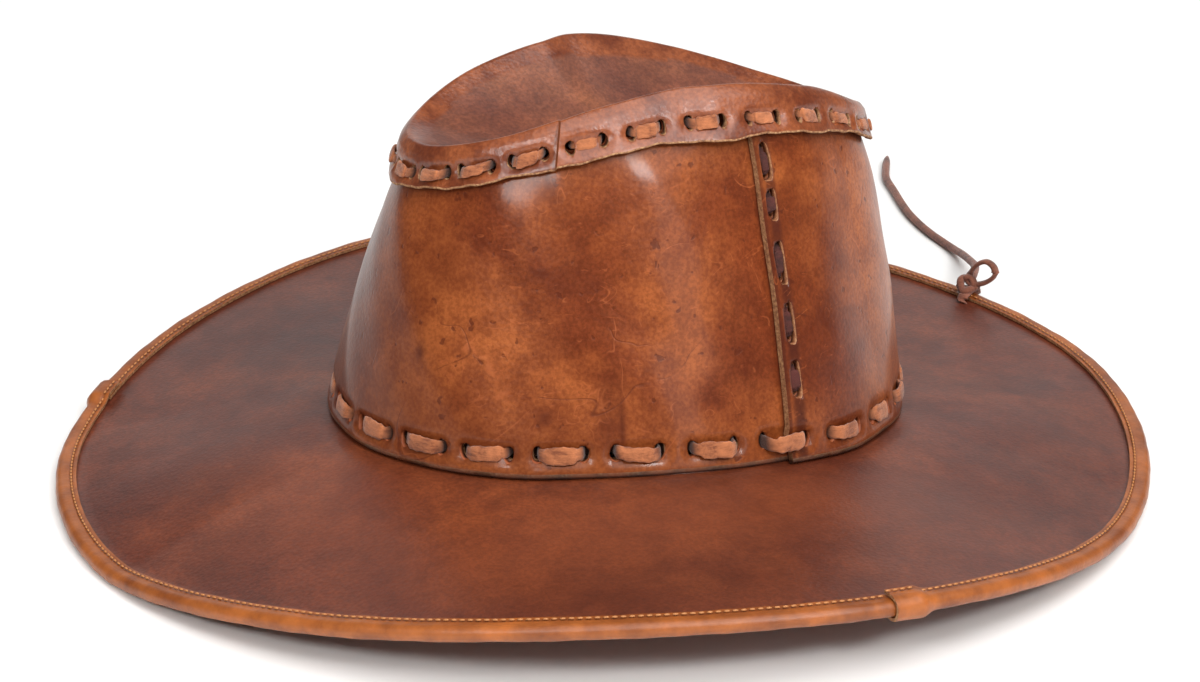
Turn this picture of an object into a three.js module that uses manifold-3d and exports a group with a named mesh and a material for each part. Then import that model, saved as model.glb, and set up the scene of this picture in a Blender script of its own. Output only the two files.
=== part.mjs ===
// Leather hat with a wide saddle-shaped brim and a lengthwise dent in the crown.
// Millimetres. The front points to -Y, the wearer's left to +X, and the brim rests at z = 0.
// Azimuth is measured round the crown from the front, towards the wearer's left.
import * as THREE from 'three';
import { mergeVertices } from 'three/addons/utils/BufferGeometryUtils.js';
import Module from 'manifold-3d';

// Stitches round the base and round the rim, and sections of the leather, set so that none meets a slot
const STITCHES = 24;
const AZIMUTH_STEPS = 36;

// Leather and clearances
const LEATHER = 2.4;
const GAP = 0.35;
const BINDING_LEATHER = 1.2;

// Crown wall: half width and half length of its outer face at three heights, and how far it leans back
const WALL_LEVELS = [
  { height: 19.5, halfWidth: 89.4, halfLength: 101.5, back: 0 },
  { height: 54, halfWidth: 78.2, halfLength: 95.6, back: 2 },
  { height: 115, halfWidth: 55.5, halfLength: 81.5, back: 6.8 },
];
const WALL_TOP_DROP = 3.8;
const WALL_TOP_BEVEL = 2.8;
const UNDERLAP_DROP = 0.8;
const HIDDEN_LEAN = 0.2;

// Round the hat: the brim's outer edge, the wall's foot, the hem of the folded rim and the rim's height
const AROUND = [
  { azimuth: 0, edgeX: 0, edgeY: -193, edgeHeight: -1, foot: 25, hem: 109, rise: 14 },
  { azimuth: 30, edgeX: 90, edgeY: -165, edgeHeight: 10.5, foot: 27, hem: 116.5, rise: 13 },
  { azimuth: 60, edgeX: 160, edgeY: -98, edgeHeight: 22, foot: 28.5, hem: 125, rise: 14 },
  { azimuth: 90, edgeX: 188, edgeY: -1, edgeHeight: 19, foot: 26, hem: 126.5, rise: 15.5 },
  { azimuth: 120, edgeX: 158, edgeY: 93, edgeHeight: 3.5, foot: 20, hem: 121, rise: 14 },
  { azimuth: 150, edgeX: 89, edgeY: 160, edgeHeight: -1.5, foot: 15, hem: 108, rise: 13 },
  { azimuth: 180, edgeX: 0, edgeY: 190, edgeHeight: 0, foot: 11, hem: 99, rise: 13 },
  { azimuth: 210, edgeX: -93, edgeY: 165, edgeHeight: 5, foot: 11.5, hem: 103, rise: 12.5 },
  { azimuth: 240, edgeX: -158, edgeY: 93, edgeHeight: 13, foot: 16, hem: 113, rise: 13 },
  { azimuth: 270, edgeX: -181, edgeY: -1, edgeHeight: 16.5, foot: 19.5, hem: 121, rise: 14 },
  { azimuth: 300, edgeX: -157, edgeY: -96, edgeHeight: 8.5, foot: 22, hem: 117.5, rise: 14 },
  { azimuth: 330, edgeX: -92, edgeY: -167, edgeHeight: -0.5, foot: 24, hem: 110, rise: 14 },
];

// Side seams: the back panel laps over the front panel
const SEAM_AZIMUTH = 98;
const LAP_ANGLE = 12;
const LAP_LIFT = LEATHER + GAP;
const LAP_SHAPE = [
  { past: -18, share: 0 },
  { past: -8, share: 1 },
  { past: 12, share: 1 },
  { past: 32, share: 0 },
];

// Brim
const COLLAR_HEIGHT = 13.5;
const BRIM_SEAT = 6;
const LEVEL_EDGE = 9;
const BRIM_SHARES = [0.45];
const BRIM_EASE = 1.2;

// Binding folded over the brim's edge, in two strips with lapped ends
const BINDING_WIDTH = 7.5;
const BINDING_SPACE = BINDING_LEATHER + GAP;
const BINDING_JOINTS = { left: 86, right: 317 };
const BINDING_LAP_ANGLE = 3;
const BINDING_LAP_BLEND = 1.5;
const BINDING_END_GAP = 0.3;

// Dent in the top panel
const RIM_LEAN = 1.6;
const VALLEY_HALF_LENGTH = 52;
const VALLEY_MIDDLE_Y = 6;
const VALLEY_FRONT = 116;
const VALLEY_BACK = 105;
const VALLEY_POWER = 1.5;
const TOP_SHARES = [0.12, 0.5, 1];
const TOP_THICKNESS = LEATHER * 1.08;

// Laces: a running stitch through punched slots
const LACE_CLEAR = 0.4;
const PUNCH_REACH = 170;
const LACE_LIFT = 0.55;
const BASE_LACE = { length: 17.5, first: 7.5, width: 6, thickness: 1.7, bulge: 0.9, above: 7.6 };
const RIM_LACE = { length: 13, first: -4, width: 4.5, thickness: 1.4, bulge: 0.8 };
const RIM_LACE_SHARE = 0.35;
const SEAM_LACE = { width: 4, thickness: 1.3, bulge: 0.4, past: 4.4, tuck: 3 };
const SEAM_STITCHES = [
  { from: 21.8, to: 30.8 },
  { from: 38.7, to: 48.9 },
  { from: 57, to: 67.5 },
  { from: 76.4, to: 83.4 },
];
const SEAM_TOP_STITCH = { below: 4, length: 9 };

const DEGREE = Math.PI / 180;
const FULL_TURN = 360;
const STEP = FULL_TURN / AZIMUTH_STEPS;
const ringAzimuths = Array.from({ length: AZIMUTH_STEPS }, (_, i) => i * STEP);

// Azimuths of a strip's sections: its two ends, and the steps between from and to
function stationsBetween(ends, from, to) {
  const stations = [...ends];
  for (let azimuth = Math.ceil((from + 1) / STEP) * STEP; azimuth < to - 1; azimuth += STEP) {
    stations.push(azimuth);
  }
  return [...stations, to];
}

// A point between two steps, on the straight line that joins them, so that all pieces share the same facets
function onFacet(azimuth, point) {
  const turn = azimuth / STEP;
  const before = Math.floor(turn);
  return point(before * STEP).lerp(point((before + 1) * STEP), turn - before);
}

// Smooth curve through the rows of AROUND, closed on itself
function around(azimuth, column) {
  const count = AROUND.length;
  const spacing = FULL_TURN / count;
  const turn = (((azimuth % FULL_TURN) + FULL_TURN) % FULL_TURN) / spacing;
  const row = Math.floor(turn);
  const t = turn - row;
  const [a, b, c, d] = [-1, 0, 1, 2].map((step) => AROUND[(row + step + count) % count][column]);
  const slopeB = (c - a) / 2;
  const slopeC = (d - b) / 2;
  return b + t * (slopeB + t * (3 * (c - b) - 2 * slopeB - slopeC + t * (2 * (b - c) + slopeB + slopeC)));
}

// Straight between the wall's levels, and on past the first and the last
function wallSize(height, column) {
  const [low, middle, high] = WALL_LEVELS;
  const [from, to] = height < middle.height ? [low, middle] : [middle, high];
  const share = (height - from.height) / (to.height - from.height);
  return THREE.MathUtils.lerp(from[column], to[column], share);
}

function outward(azimuth, height) {
  const t = azimuth * DEGREE;
  const width = wallSize(height, 'halfWidth');
  const length = wallSize(height, 'halfLength');
  const normal = new THREE.Vector2(Math.sin(t) * length, -Math.cos(t) * width);
  return normal.normalize();
}

// A point on the wall's outer face, moved outwards by out; above the hem it leans in under the rim
function wallPoint(azimuth, height, out) {
  const t = azimuth * DEGREE;
  const hidden = Math.max(0, height - around(azimuth, 'hem'));
  const lean = HIDDEN_LEAN * Math.sin(t) ** 2 * hidden;
  const off = outward(azimuth, height).multiplyScalar(out - lean);
  const x = wallSize(height, 'halfWidth') * Math.sin(t);
  const y = -wallSize(height, 'halfLength') * Math.cos(t) + wallSize(height, 'back');
  return new THREE.Vector3(x + off.x, y + off.y, height);
}

// How far the outermost leather stands off the plain wall at the side seams
function seamLift(azimuth) {
  const side = azimuth > FULL_TURN / 2 ? FULL_TURN - azimuth : azimuth;
  const past = side - SEAM_AZIMUTH;
  for (let i = 1; i < LAP_SHAPE.length; i += 1) {
    const [from, to] = [LAP_SHAPE[i - 1], LAP_SHAPE[i]];
    if (past >= from.past && past <= to.past) {
      const t = (past - from.past) / (to.past - from.past);
      return LAP_LIFT * THREE.MathUtils.lerp(from.share, to.share, t);
    }
  }
  return 0;
}

function edgeHeight(azimuth) {
  return Math.max(0, around(azimuth, 'edgeHeight'));
}

// Top face of the brim, at a distance in from its bound edge
function brimPoint(azimuth, fromEdge, above) {
  const footHeight = around(azimuth, 'foot') - GAP;
  const foot = wallPoint(azimuth, footHeight, 0);
  const edge = new THREE.Vector3(around(azimuth, 'edgeX'), around(azimuth, 'edgeY'), 0);
  const run = new THREE.Vector2(edge.x - foot.x, edge.y - foot.y);
  const reach = run.length();
  run.normalize();
  const sloped = reach - BRIM_SEAT - LEVEL_EDGE;
  const share = THREE.MathUtils.clamp((reach - fromEdge - BRIM_SEAT) / sloped, 0, 1);
  const edgeTop = edgeHeight(azimuth) + BINDING_SPACE + LEATHER;
  const height = THREE.MathUtils.lerp(footHeight, edgeTop, share ** BRIM_EASE);
  return new THREE.Vector3(edge.x - run.x * fromEdge, edge.y - run.y * fromEdge, height + above);
}

function brimReach(azimuth) {
  const foot = wallPoint(azimuth, around(azimuth, 'foot') - GAP, 0);
  return Math.hypot(around(azimuth, 'edgeX') - foot.x, around(azimuth, 'edgeY') - foot.y);
}

// A closed solid swept through sections. Each section has an outer and an inner line of equally many points.
// A ring closes on itself; joined leaves out the faces at the last point, where two halves of a ring meet.
function sweep(sections, { ring = false, joined = false } = {}) {
  const corners = [];
  const triangle = (a, b, c) => corners.push(a, b, c);
  const quad = (a, b, c, d) => {
    triangle(a, b, c);
    triangle(a, c, d);
  };
  const last = sections[0].outer.length - 1;
  const spans = ring ? sections.length : sections.length - 1;
  for (let i = 0; i < spans; i += 1) {
    const [here, next] = [sections[i], sections[(i + 1) % sections.length]];
    for (let k = 0; k < last; k += 1) {
      quad(here.outer[k], next.outer[k], next.outer[k + 1], here.outer[k + 1]);
      quad(here.inner[k], here.inner[k + 1], next.inner[k + 1], next.inner[k]);
    }
    quad(here.outer[0], here.inner[0], next.inner[0], next.outer[0]);
    if (!joined) quad(here.outer[last], next.outer[last], next.inner[last], here.inner[last]);
  }
  if (!ring) {
    const [first, end] = [sections[0], sections[sections.length - 1]];
    for (let k = 0; k < last; k += 1) {
      quad(first.outer[k], first.outer[k + 1], first.inner[k + 1], first.inner[k]);
      quad(end.outer[k], end.inner[k], end.inner[k + 1], end.outer[k + 1]);
    }
  }
  const geometry = new THREE.BufferGeometry().setFromPoints(corners);
  return signedVolume(corners) < 0 ? flipped(geometry) : geometry;
}

function signedVolume(corners) {
  let volume = 0;
  for (let i = 0; i < corners.length; i += 3) {
    volume += corners[i].dot(new THREE.Vector3().crossVectors(corners[i + 1], corners[i + 2]));
  }
  return volume;
}

function flipped(geometry) {
  const position = geometry.getAttribute('position');
  const turned = [];
  for (let i = 0; i < position.count; i += 3) {
    [i, i + 2, i + 1].forEach((k) => turned.push(new THREE.Vector3().fromBufferAttribute(position, k)));
  }
  return new THREE.BufferGeometry().setFromPoints(turned);
}

// Boolean cuts and joins
const wasm = await Module();
wasm.setup();
const MERGE_TOLERANCE = 1e-4;

function toSolid(geometry) {
  const bare = geometry.clone();
  bare.deleteAttribute('normal');
  bare.deleteAttribute('uv');
  const merged = mergeVertices(bare, MERGE_TOLERANCE);
  return new wasm.Manifold(new wasm.Mesh({
    numProp: 3,
    vertProperties: new Float32Array(merged.getAttribute('position').array),
    triVerts: new Uint32Array(merged.index.array),
  }));
}

function toGeometry(solid) {
  const mesh = solid.getMesh();
  const geometry = new THREE.BufferGeometry();
  geometry.setAttribute('position', new THREE.BufferAttribute(mesh.vertProperties, 3));
  geometry.setIndex(new THREE.BufferAttribute(mesh.triVerts, 1));
  return geometry;
}

function cut(geometry, punches) {
  return toGeometry(punches.reduce((solid, punch) => solid.subtract(toSolid(punch)), toSolid(geometry)));
}

// Brim with the collar that stands up inside the crown wall
function brimGeometry() {
  const sections = ringAzimuths.map((azimuth) => {
    const foot = around(azimuth, 'foot');
    const reach = brimReach(azimuth);
    const collar = -(LEATHER + GAP);
    const outer = [
      wallPoint(azimuth, foot + COLLAR_HEIGHT, collar),
      wallPoint(azimuth, foot - GAP, collar),
    ];
    const inner = [
      wallPoint(azimuth, foot + COLLAR_HEIGHT, collar - LEATHER),
      wallPoint(azimuth, foot - GAP, collar - LEATHER),
    ];
    const runs = [
      reach - BRIM_SEAT,
      ...BRIM_SHARES.map((share) => (reach - BRIM_SEAT) * (1 - share) + LEVEL_EDGE * share),
      LEVEL_EDGE,
      BINDING_SPACE,
    ];
    runs.forEach((fromEdge) => {
      outer.push(brimPoint(azimuth, fromEdge, 0));
      inner.push(brimPoint(azimuth, fromEdge, -LEATHER));
    });
    return { outer, inner };
  });
  return sweep(sections, { ring: true });
}

// One binding strip; its first end laps over the end of the other strip
function bindingGeometry(fromAzimuth, toAzimuth) {
  const lapEnd = fromAzimuth + BINDING_LAP_ANGLE;
  const blendEnd = lapEnd + BINDING_LAP_BLEND;
  const stations = stationsBetween([fromAzimuth, lapEnd, blendEnd], blendEnd, toAzimuth);
  const sections = stations.map((azimuth) => {
    const lift = azimuth <= lapEnd ? BINDING_LEATHER + GAP : 0;
    const [near, far] = [GAP + lift, GAP + lift + BINDING_LEATHER];
    const at = (fromEdge, above) => onFacet(azimuth, (step) => brimPoint(step, fromEdge, above));
    const face = BINDING_LEATHER - lift;
    return {
      outer: [
        at(BINDING_WIDTH, far),
        at(-lift, far),
        at(-lift, -LEATHER - far),
        at(BINDING_WIDTH, -LEATHER - far),
      ],
      inner: [
        at(BINDING_WIDTH, near),
        at(face, near),
        at(face, -LEATHER - near),
        at(BINDING_WIDTH, -LEATHER - near),
      ],
    };
  });
  return sweep(sections);
}

// A panel of the crown wall between two azimuths, at a stand-off worked out by lift
function wallGeometry(fromAzimuth, toAzimuth, lift) {
  const sectionAt = (azimuth) => {
    const turned = (azimuth + FULL_TURN) % FULL_TURN;
    const bottom = around(turned, 'foot');
    const stand = lift(turned);
    const drop = WALL_TOP_DROP + UNDERLAP_DROP * (seamLift(turned) - stand);
    const top = around(turned, 'hem') + around(turned, 'rise') - drop;
    const heights = [bottom, WALL_LEVELS[1].height, around(turned, 'hem')];
    const rows = (peak, out) => [...heights, peak].map((height) => wallPoint(turned, height, out));
    return {
      outer: rows(top, stand),
      inner: rows(top - WALL_TOP_BEVEL, stand - LEATHER),
    };
  };
  const sections = stationsBetween([fromAzimuth], fromAzimuth, toAzimuth).map((azimuth) => {
    const line = (face) => sectionAt(0)[face].map((_, i) => (
      onFacet(azimuth, (step) => sectionAt(step)[face][i])
    ));
    return { outer: line('outer'), inner: line('inner') };
  });
  return sweep(sections);
}

// Top panel: the hem, the rim folded down over the wall, the ridge and the dent down to its valley line
function topGeometry() {
  const sections = ringAzimuths.map((azimuth) => {
    const hem = around(azimuth, 'hem');
    const ridgeHeight = hem + around(azimuth, 'rise');
    const near = seamLift(azimuth) + GAP;
    const ridge = wallPoint(azimuth, ridgeHeight, near + LEATHER - RIM_LEAN);
    const along = -Math.cos(azimuth * DEGREE);
    const valley = new THREE.Vector3(
      0,
      VALLEY_MIDDLE_Y + VALLEY_HALF_LENGTH * along,
      THREE.MathUtils.lerp(VALLEY_FRONT, VALLEY_BACK, (along + 1) / 2),
    );
    const top = (share) => {
      const point = new THREE.Vector3().lerpVectors(ridge, valley, share);
      point.z = valley.z + (ridge.z - valley.z) * (1 - share) ** VALLEY_POWER;
      return point;
    };
    const below = (point) => new THREE.Vector3(point.x, point.y, point.z - TOP_THICKNESS);
    const shares = TOP_SHARES.map(top);
    return {
      outer: [wallPoint(azimuth, hem, near + LEATHER), ridge, ...shares],
      inner: [
        wallPoint(azimuth, hem, near),
        wallPoint(azimuth, ridgeHeight - TOP_THICKNESS, near),
        ...shares.map(below),
      ],
    };
  });
  return sweep(sections, { ring: true, joined: true });
}

// A flat lace that runs over the leather from each stitch's start to its end, and behind it between stitches.
// place(distance, side, off, across) gives a point: side 1 is outside and -1 inside, off is further out than
// the lace's middle there, and across is up from its middle line.
function laceGeometry(stitches, lace, place, ring) {
  const half = lace.thickness / 2;
  const section = (distance, side, along, off, scale) => {
    const shift = along * scale;
    const rise = lace.width / 2;
    const corner = (sign, across) => place(distance + sign * shift, side, sign * off, across);
    return {
      outer: [corner(1, -rise), corner(1, rise)],
      inner: [corner(-1, -rise), corner(-1, rise)],
    };
  };
  const sections = [];
  stitches.forEach(({ from, to, scale }) => {
    const middle = (from + to) / 2;
    sections.push(section(from, -1, -half, half, scale), section(from, 1, -half, half, scale));
    const bulged = section(middle, 1, 0, half, scale);
    const raise = (across, sign) => place(middle, 1, lace.bulge + sign * half, across * lace.width / 2);
    bulged.outer = [raise(-1, 1), raise(1, 1)];
    bulged.inner = [raise(-1, -1), raise(1, -1)];
    sections.push(bulged);
    sections.push(section(to, 1, half, half, scale), section(to, -1, half, half, scale));
  });
  if (!ring) {
    const [first, last] = [stitches[0], stitches[stitches.length - 1]];
    sections.unshift(section(first.from - lace.tuck, -1, 0, half, first.scale));
    sections.push(section(last.to + lace.tuck, -1, 0, half, last.scale));
  }
  return sweep(sections, { ring });
}

// The slots that a lace passes through. Each punch is a long four-sided wedge, driven out from inside.
function slotPunches(stitches, lace, place) {
  const along = lace.thickness + 2 * LACE_CLEAR;
  const across = lace.width + 2 * LACE_CLEAR;
  return stitches.flatMap(({ from, to }) => [from, to]).map((distance) => {
    const inside = place(distance, -1, 0, 0);
    const through = place(distance, 1, 0, 0).sub(inside).normalize();
    const side = place(distance, -1, 0, 1).sub(place(distance, -1, 0, -1)).normalize();
    const run = new THREE.Vector3().crossVectors(through, side).normalize();
    side.crossVectors(run, through);
    const middle = inside.addScaledVector(through, PUNCH_REACH / 2);
    return new THREE.ConeGeometry(Math.SQRT1_2, 1, 4, 1, false, Math.PI / 4)
      .scale(along, PUNCH_REACH, across)
      .applyMatrix4(new THREE.Matrix4().makeBasis(run, through, side).setPosition(middle));
  });
}

// Base lace, through the wall and the brim's collar. Its distances are degrees of azimuth.
function basePlace(azimuth, side, off, across) {
  const inside = -(2 * LEATHER + GAP + LACE_LIFT + BASE_LACE.thickness / 2);
  return onFacet(azimuth, (step) => {
    const middle = side > 0 ? seamLift(step) + LACE_LIFT + BASE_LACE.thickness / 2 : inside;
    return wallPoint(step, around(step, 'foot') + BASE_LACE.above + across, middle + off);
  });
}

// Rim lace, through the folded rim and the wall
function rimPlace(azimuth, side, off, across) {
  const inside = -(LEATHER + LACE_LIFT + RIM_LACE.thickness / 2);
  return onFacet(azimuth, (step) => {
    const outside = seamLift(step) + GAP + LEATHER + LACE_LIFT + RIM_LACE.thickness / 2;
    const height = around(step, 'hem') + around(step, 'rise') * RIM_LACE_SHARE;
    return wallPoint(step, height + across, (side > 0 ? outside : inside) + off);
  });
}

// Evenly spread stitches, each of the lace's length along the leather, the first at the azimuth it names
function ringStitches(lace, place) {
  const pitch = FULL_TURN / STITCHES;
  return Array.from({ length: STITCHES }, (_, i) => {
    const middle = lace.first + i * pitch;
    const perDegree = place(middle, 1, 0, 0).distanceTo(place(middle + 1, 1, 0, 0));
    const half = lace.length / 2 / perDegree;
    return { from: middle - half, to: middle + half, scale: 1 / perDegree };
  });
}

// Seam lace, up one side through the lapped panels
function seamPlace(hand) {
  const seam = SEAM_AZIMUTH + (SEAM_LACE.past / wallSize(WALL_LEVELS[1].height, 'halfLength')) / DEGREE;
  const azimuth = hand > 0 ? seam : FULL_TURN - seam;
  const inside = -(LEATHER + LACE_LIFT + SEAM_LACE.thickness / 2);
  const outside = LAP_LIFT + LACE_LIFT + SEAM_LACE.thickness / 2;
  return (distance, side, off, across) => {
    const height = around(azimuth, 'foot') + distance;
    const turn = (across / wallSize(height, 'halfLength')) / DEGREE;
    const out = (side > 0 ? outside : inside) + off;
    return onFacet(azimuth + turn, (step) => wallPoint(step, height, out));
  };
}

function seamStitches(hand) {
  const azimuth = hand > 0 ? SEAM_AZIMUTH : FULL_TURN - SEAM_AZIMUTH;
  const to = around(azimuth, 'hem') - around(azimuth, 'foot') - SEAM_TOP_STITCH.below;
  const stitches = [...SEAM_STITCHES, { from: to - SEAM_TOP_STITCH.length, to }];
  return stitches.map((stitch) => ({ ...stitch, scale: 1 }));
}

const laces = {
  base: { size: BASE_LACE, stitches: ringStitches(BASE_LACE, basePlace), place: basePlace, ring: true },
  rim: { size: RIM_LACE, stitches: ringStitches(RIM_LACE, rimPlace), place: rimPlace, ring: true },
  left: { size: SEAM_LACE, stitches: seamStitches(1), place: seamPlace(1), ring: false },
  right: { size: SEAM_LACE, stitches: seamStitches(-1), place: seamPlace(-1), ring: false },
};
const lace = ({ size, stitches, place, ring }) => laceGeometry(stitches, size, place, ring);
const punches = ({ size, stitches, place }) => slotPunches(stitches, size, place);
const wallPunches = Object.values(laces).flatMap(punches);

// Tie of leather thong on the brim's back edge
const TIE_AZIMUTH = 194;
const THONG = { width: 4.5, thickness: 1.3 };
const TIE_HOLE = 10.5;
const KNOT = { length: 8.5, width: 6.5, height: 5.5, fromEdge: 4.5, lift: 1.4, detail: [8, 6] };
const TIE_LOOP = { radius: 4.6, width: 3.4, fromEdge: 1, lift: 2.2, sections: 12 };

function tieFrame() {
  const edge = onFacet(TIE_AZIMUTH, (step) => brimPoint(step, 0, 0));
  const inner = onFacet(TIE_AZIMUTH, (step) => brimPoint(step, LEVEL_EDGE, 0));
  const out = new THREE.Vector3(edge.x - inner.x, edge.y - inner.y, 0).normalize();
  const side = new THREE.Vector3(-out.y, out.x, 0);
  const at = (reach, height, across) => edge.clone()
    .addScaledVector(out, reach)
    .addScaledVector(side, across)
    .add(new THREE.Vector3(0, 0, height));
  return { out, side, at };
}

// The thong's band round the brim's edge, down through its hole
function tieWrapGeometry() {
  const { at } = tieFrame();
  const half = THONG.width / 2;
  const thick = THONG.thickness;
  const top = BINDING_SPACE + GAP;
  const bottom = -LEATHER - BINDING_SPACE - GAP;
  const loop = [
    { reach: GAP, height: bottom, outReach: GAP + thick, outHeight: bottom - thick },
    { reach: GAP, height: top, outReach: GAP + thick, outHeight: top + thick },
    { reach: -TIE_HOLE, height: top, outReach: -TIE_HOLE - thick, outHeight: top + thick },
    { reach: -TIE_HOLE, height: bottom, outReach: -TIE_HOLE - thick, outHeight: bottom - thick },
  ];
  const sections = loop.map((c) => ({
    outer: [at(c.outReach, c.outHeight, -half), at(c.outReach, c.outHeight, half)],
    inner: [at(c.reach, c.height, -half), at(c.reach, c.height, half)],
  }));
  return sweep(sections, { ring: true });
}

function tieLoopGeometry() {
  const { at } = tieFrame();
  const middle = BINDING_SPACE + GAP + THONG.thickness + TIE_LOOP.lift + TIE_LOOP.radius;
  const sections = Array.from({ length: TIE_LOOP.sections }, (_, i) => {
    const angle = (i * 2 * Math.PI) / TIE_LOOP.sections;
    const corner = (radius, reach) => at(
      reach - TIE_LOOP.fromEdge,
      middle + radius * Math.sin(angle),
      radius * Math.cos(angle) - TIE_LOOP.radius,
    );
    const edges = (radius) => [corner(radius, -TIE_LOOP.width / 2), corner(radius, TIE_LOOP.width / 2)];
    return {
      outer: edges(TIE_LOOP.radius + THONG.thickness / 2),
      inner: edges(TIE_LOOP.radius - THONG.thickness / 2),
    };
  });
  return sweep(sections, { ring: true });
}

function knotGeometry() {
  const { out, at } = tieFrame();
  const centre = at(-KNOT.fromEdge, BINDING_SPACE + GAP + THONG.thickness + KNOT.lift, 0);
  return new THREE.SphereGeometry(0.5, ...KNOT.detail)
    .scale(KNOT.length, KNOT.width, KNOT.height)
    .rotateZ(Math.atan2(out.y, out.x))
    .translate(centre.x, centre.y, centre.z);
}

function tieGeometry() {
  const wrap = toSolid(tieWrapGeometry());
  return toGeometry(wrap.add(toSolid(knotGeometry())).add(toSolid(tieLoopGeometry())));
}

// The hole in the brim that the wrap goes down through
function tieHole() {
  const { at } = tieFrame();
  const half = THONG.width / 2 + GAP;
  const depth = 3 * LEATHER;
  const face = (height) => ({
    outer: [at(-TIE_HOLE + GAP, height, -half), at(-TIE_HOLE + GAP, height, half)],
    inner: [
      at(-TIE_HOLE - THONG.thickness - GAP, height, -half),
      at(-TIE_HOLE - THONG.thickness - GAP, height, half),
    ],
  });
  return sweep([face(-depth), face(depth)]);
}

// The loose end of the thong: it leaves the knot, drops off the brim and lies on the floor behind the hat.
// Each row of its route is x, y and z.
const TAIL_DIAMETER = 3.3;
const TAIL_SIDES = 8;
const TAIL_STEPS = 20;
const TAIL_ROUTE = [
  [-46, 183.1, 11.4],
  [-50, 187.2, 11.2],
  [-56, 192.5, 10.5],
  [-63, 197.5, 9.3],
  [-71, 201.5, 7.6],
  [-79, 205.5, 5.7],
  [-87, 209, 4],
  [-96, 212, 2.4],
  [-106, 214, 1.8],
  [-116, 215.5, 1.7],
  [-128, 218, 1.7],
  [-142, 222, 1.7],
  [-155, 227, 1.7],
  [-169, 233, 1.7],
  [-183, 239, 1.7],
  [-195, 247, 1.7],
  [-207, 256, 1.7],
];

function tailGeometry() {
  const route = new THREE.CatmullRomCurve3(TAIL_ROUTE.map((point) => new THREE.Vector3(...point)));
  const circle = new THREE.Shape();
  const corners = Array.from({ length: TAIL_SIDES }, (_, i) => {
    const angle = (i * 2 * Math.PI) / TAIL_SIDES;
    return new THREE.Vector2(Math.cos(angle), Math.sin(angle)).multiplyScalar(TAIL_DIAMETER / 2);
  });
  circle.setFromPoints(corners);
  return new THREE.ExtrudeGeometry(circle, { steps: TAIL_STEPS, extrudePath: route, bevelEnabled: false });
}

const finish = {
  crown: { color: 0x8a4a26, roughness: 0.38, metalness: 0 },
  brim: { color: 0x6e3c28, roughness: 0.45, metalness: 0 },
  top: { color: 0x7f452a, roughness: 0.45, metalness: 0 },
  binding: { color: 0x96582f, roughness: 0.5, metalness: 0 },
  suede: { color: 0xb0703f, roughness: 0.9, metalness: 0 },
  darkLace: { color: 0x562a24, roughness: 0.6, metalness: 0 },
  thong: { color: 0x7a4534, roughness: 0.7, metalness: 0 },
};

// The brim's middle, which becomes the origin
const MIDDLE = { x: 4.1, y: -1.5 };

const hat = new THREE.Group();
function addPiece(name, geometry, material) {
  const moved = geometry.translate(-MIDDLE.x, -MIDDLE.y, 0);
  const mesh = new THREE.Mesh(moved, new THREE.MeshStandardMaterial(material));
  mesh.name = name;
  hat.add(mesh);
}

const { left: leftJoint, right: rightJoint } = BINDING_JOINTS;
const underlap = BINDING_LAP_ANGLE - BINDING_END_GAP;
addPiece('brim', cut(brimGeometry(), [...punches(laces.base), tieHole()]), finish.brim);
addPiece('binding_back', bindingGeometry(leftJoint, rightJoint + underlap), finish.binding);
addPiece('binding_front', bindingGeometry(rightJoint, leftJoint + FULL_TURN + underlap), finish.binding);
const frontEnd = SEAM_AZIMUTH + LAP_ANGLE;
addPiece('crown_front', cut(wallGeometry(-frontEnd, frontEnd, () => 0), wallPunches), finish.crown);
addPiece(
  'crown_back',
  cut(wallGeometry(SEAM_AZIMUTH, FULL_TURN - SEAM_AZIMUTH, seamLift), wallPunches),
  finish.crown,
);
addPiece('crown_top', cut(topGeometry(), punches(laces.rim)), finish.top);
addPiece('base_lace', lace(laces.base), finish.suede);
addPiece('rim_lace', lace(laces.rim), finish.suede);
addPiece('left_seam_lace', lace(laces.left), finish.darkLace);
addPiece('right_seam_lace', lace(laces.right), finish.darkLace);
addPiece('brim_tie', tieGeometry(), finish.thong);
addPiece('tie_tail', tailGeometry(), finish.thong);

export default hat;
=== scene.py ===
"""Leather hat: the finished look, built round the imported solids.

Metres. The front points to -Y, the wearer's left to +X, and the brim rests at z = 0.
Azimuth is in degrees round the crown from the front, towards the wearer's left.
"""

import math

import bpy
import numpy as np
from bpy.props import FloatProperty, FloatVectorProperty, PointerProperty
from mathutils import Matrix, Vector


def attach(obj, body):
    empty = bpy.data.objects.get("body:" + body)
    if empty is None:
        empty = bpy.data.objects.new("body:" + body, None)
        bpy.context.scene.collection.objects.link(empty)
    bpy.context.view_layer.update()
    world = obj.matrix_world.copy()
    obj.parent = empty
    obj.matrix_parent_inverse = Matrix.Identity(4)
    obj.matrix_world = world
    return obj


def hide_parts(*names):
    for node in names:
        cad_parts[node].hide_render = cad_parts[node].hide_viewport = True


bl_info = {
    "name": "Leather hat",
    "version": (1, 0, 0),
    "blender": (4, 5, 0),
    "location": "3D View > Sidebar > Hat",
    "description": "Builds a laced leather hat with a dented crown and a bound brim",
    "category": "Add Mesh",
}

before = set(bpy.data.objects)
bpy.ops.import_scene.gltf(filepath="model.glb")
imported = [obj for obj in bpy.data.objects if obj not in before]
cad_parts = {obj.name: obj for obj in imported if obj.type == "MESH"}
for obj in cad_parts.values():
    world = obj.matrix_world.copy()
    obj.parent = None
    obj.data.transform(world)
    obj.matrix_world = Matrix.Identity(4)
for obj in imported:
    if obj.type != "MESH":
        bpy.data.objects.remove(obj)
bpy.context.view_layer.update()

BODY = "root"
FULL_TURN = 360.0

# The brim's middle, which becomes the origin
MIDDLE = (0.0041, -0.0015)

# Leather
LEATHER = 0.0024
GAP = 0.00035
BINDING_LEATHER = 0.0012

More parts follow.
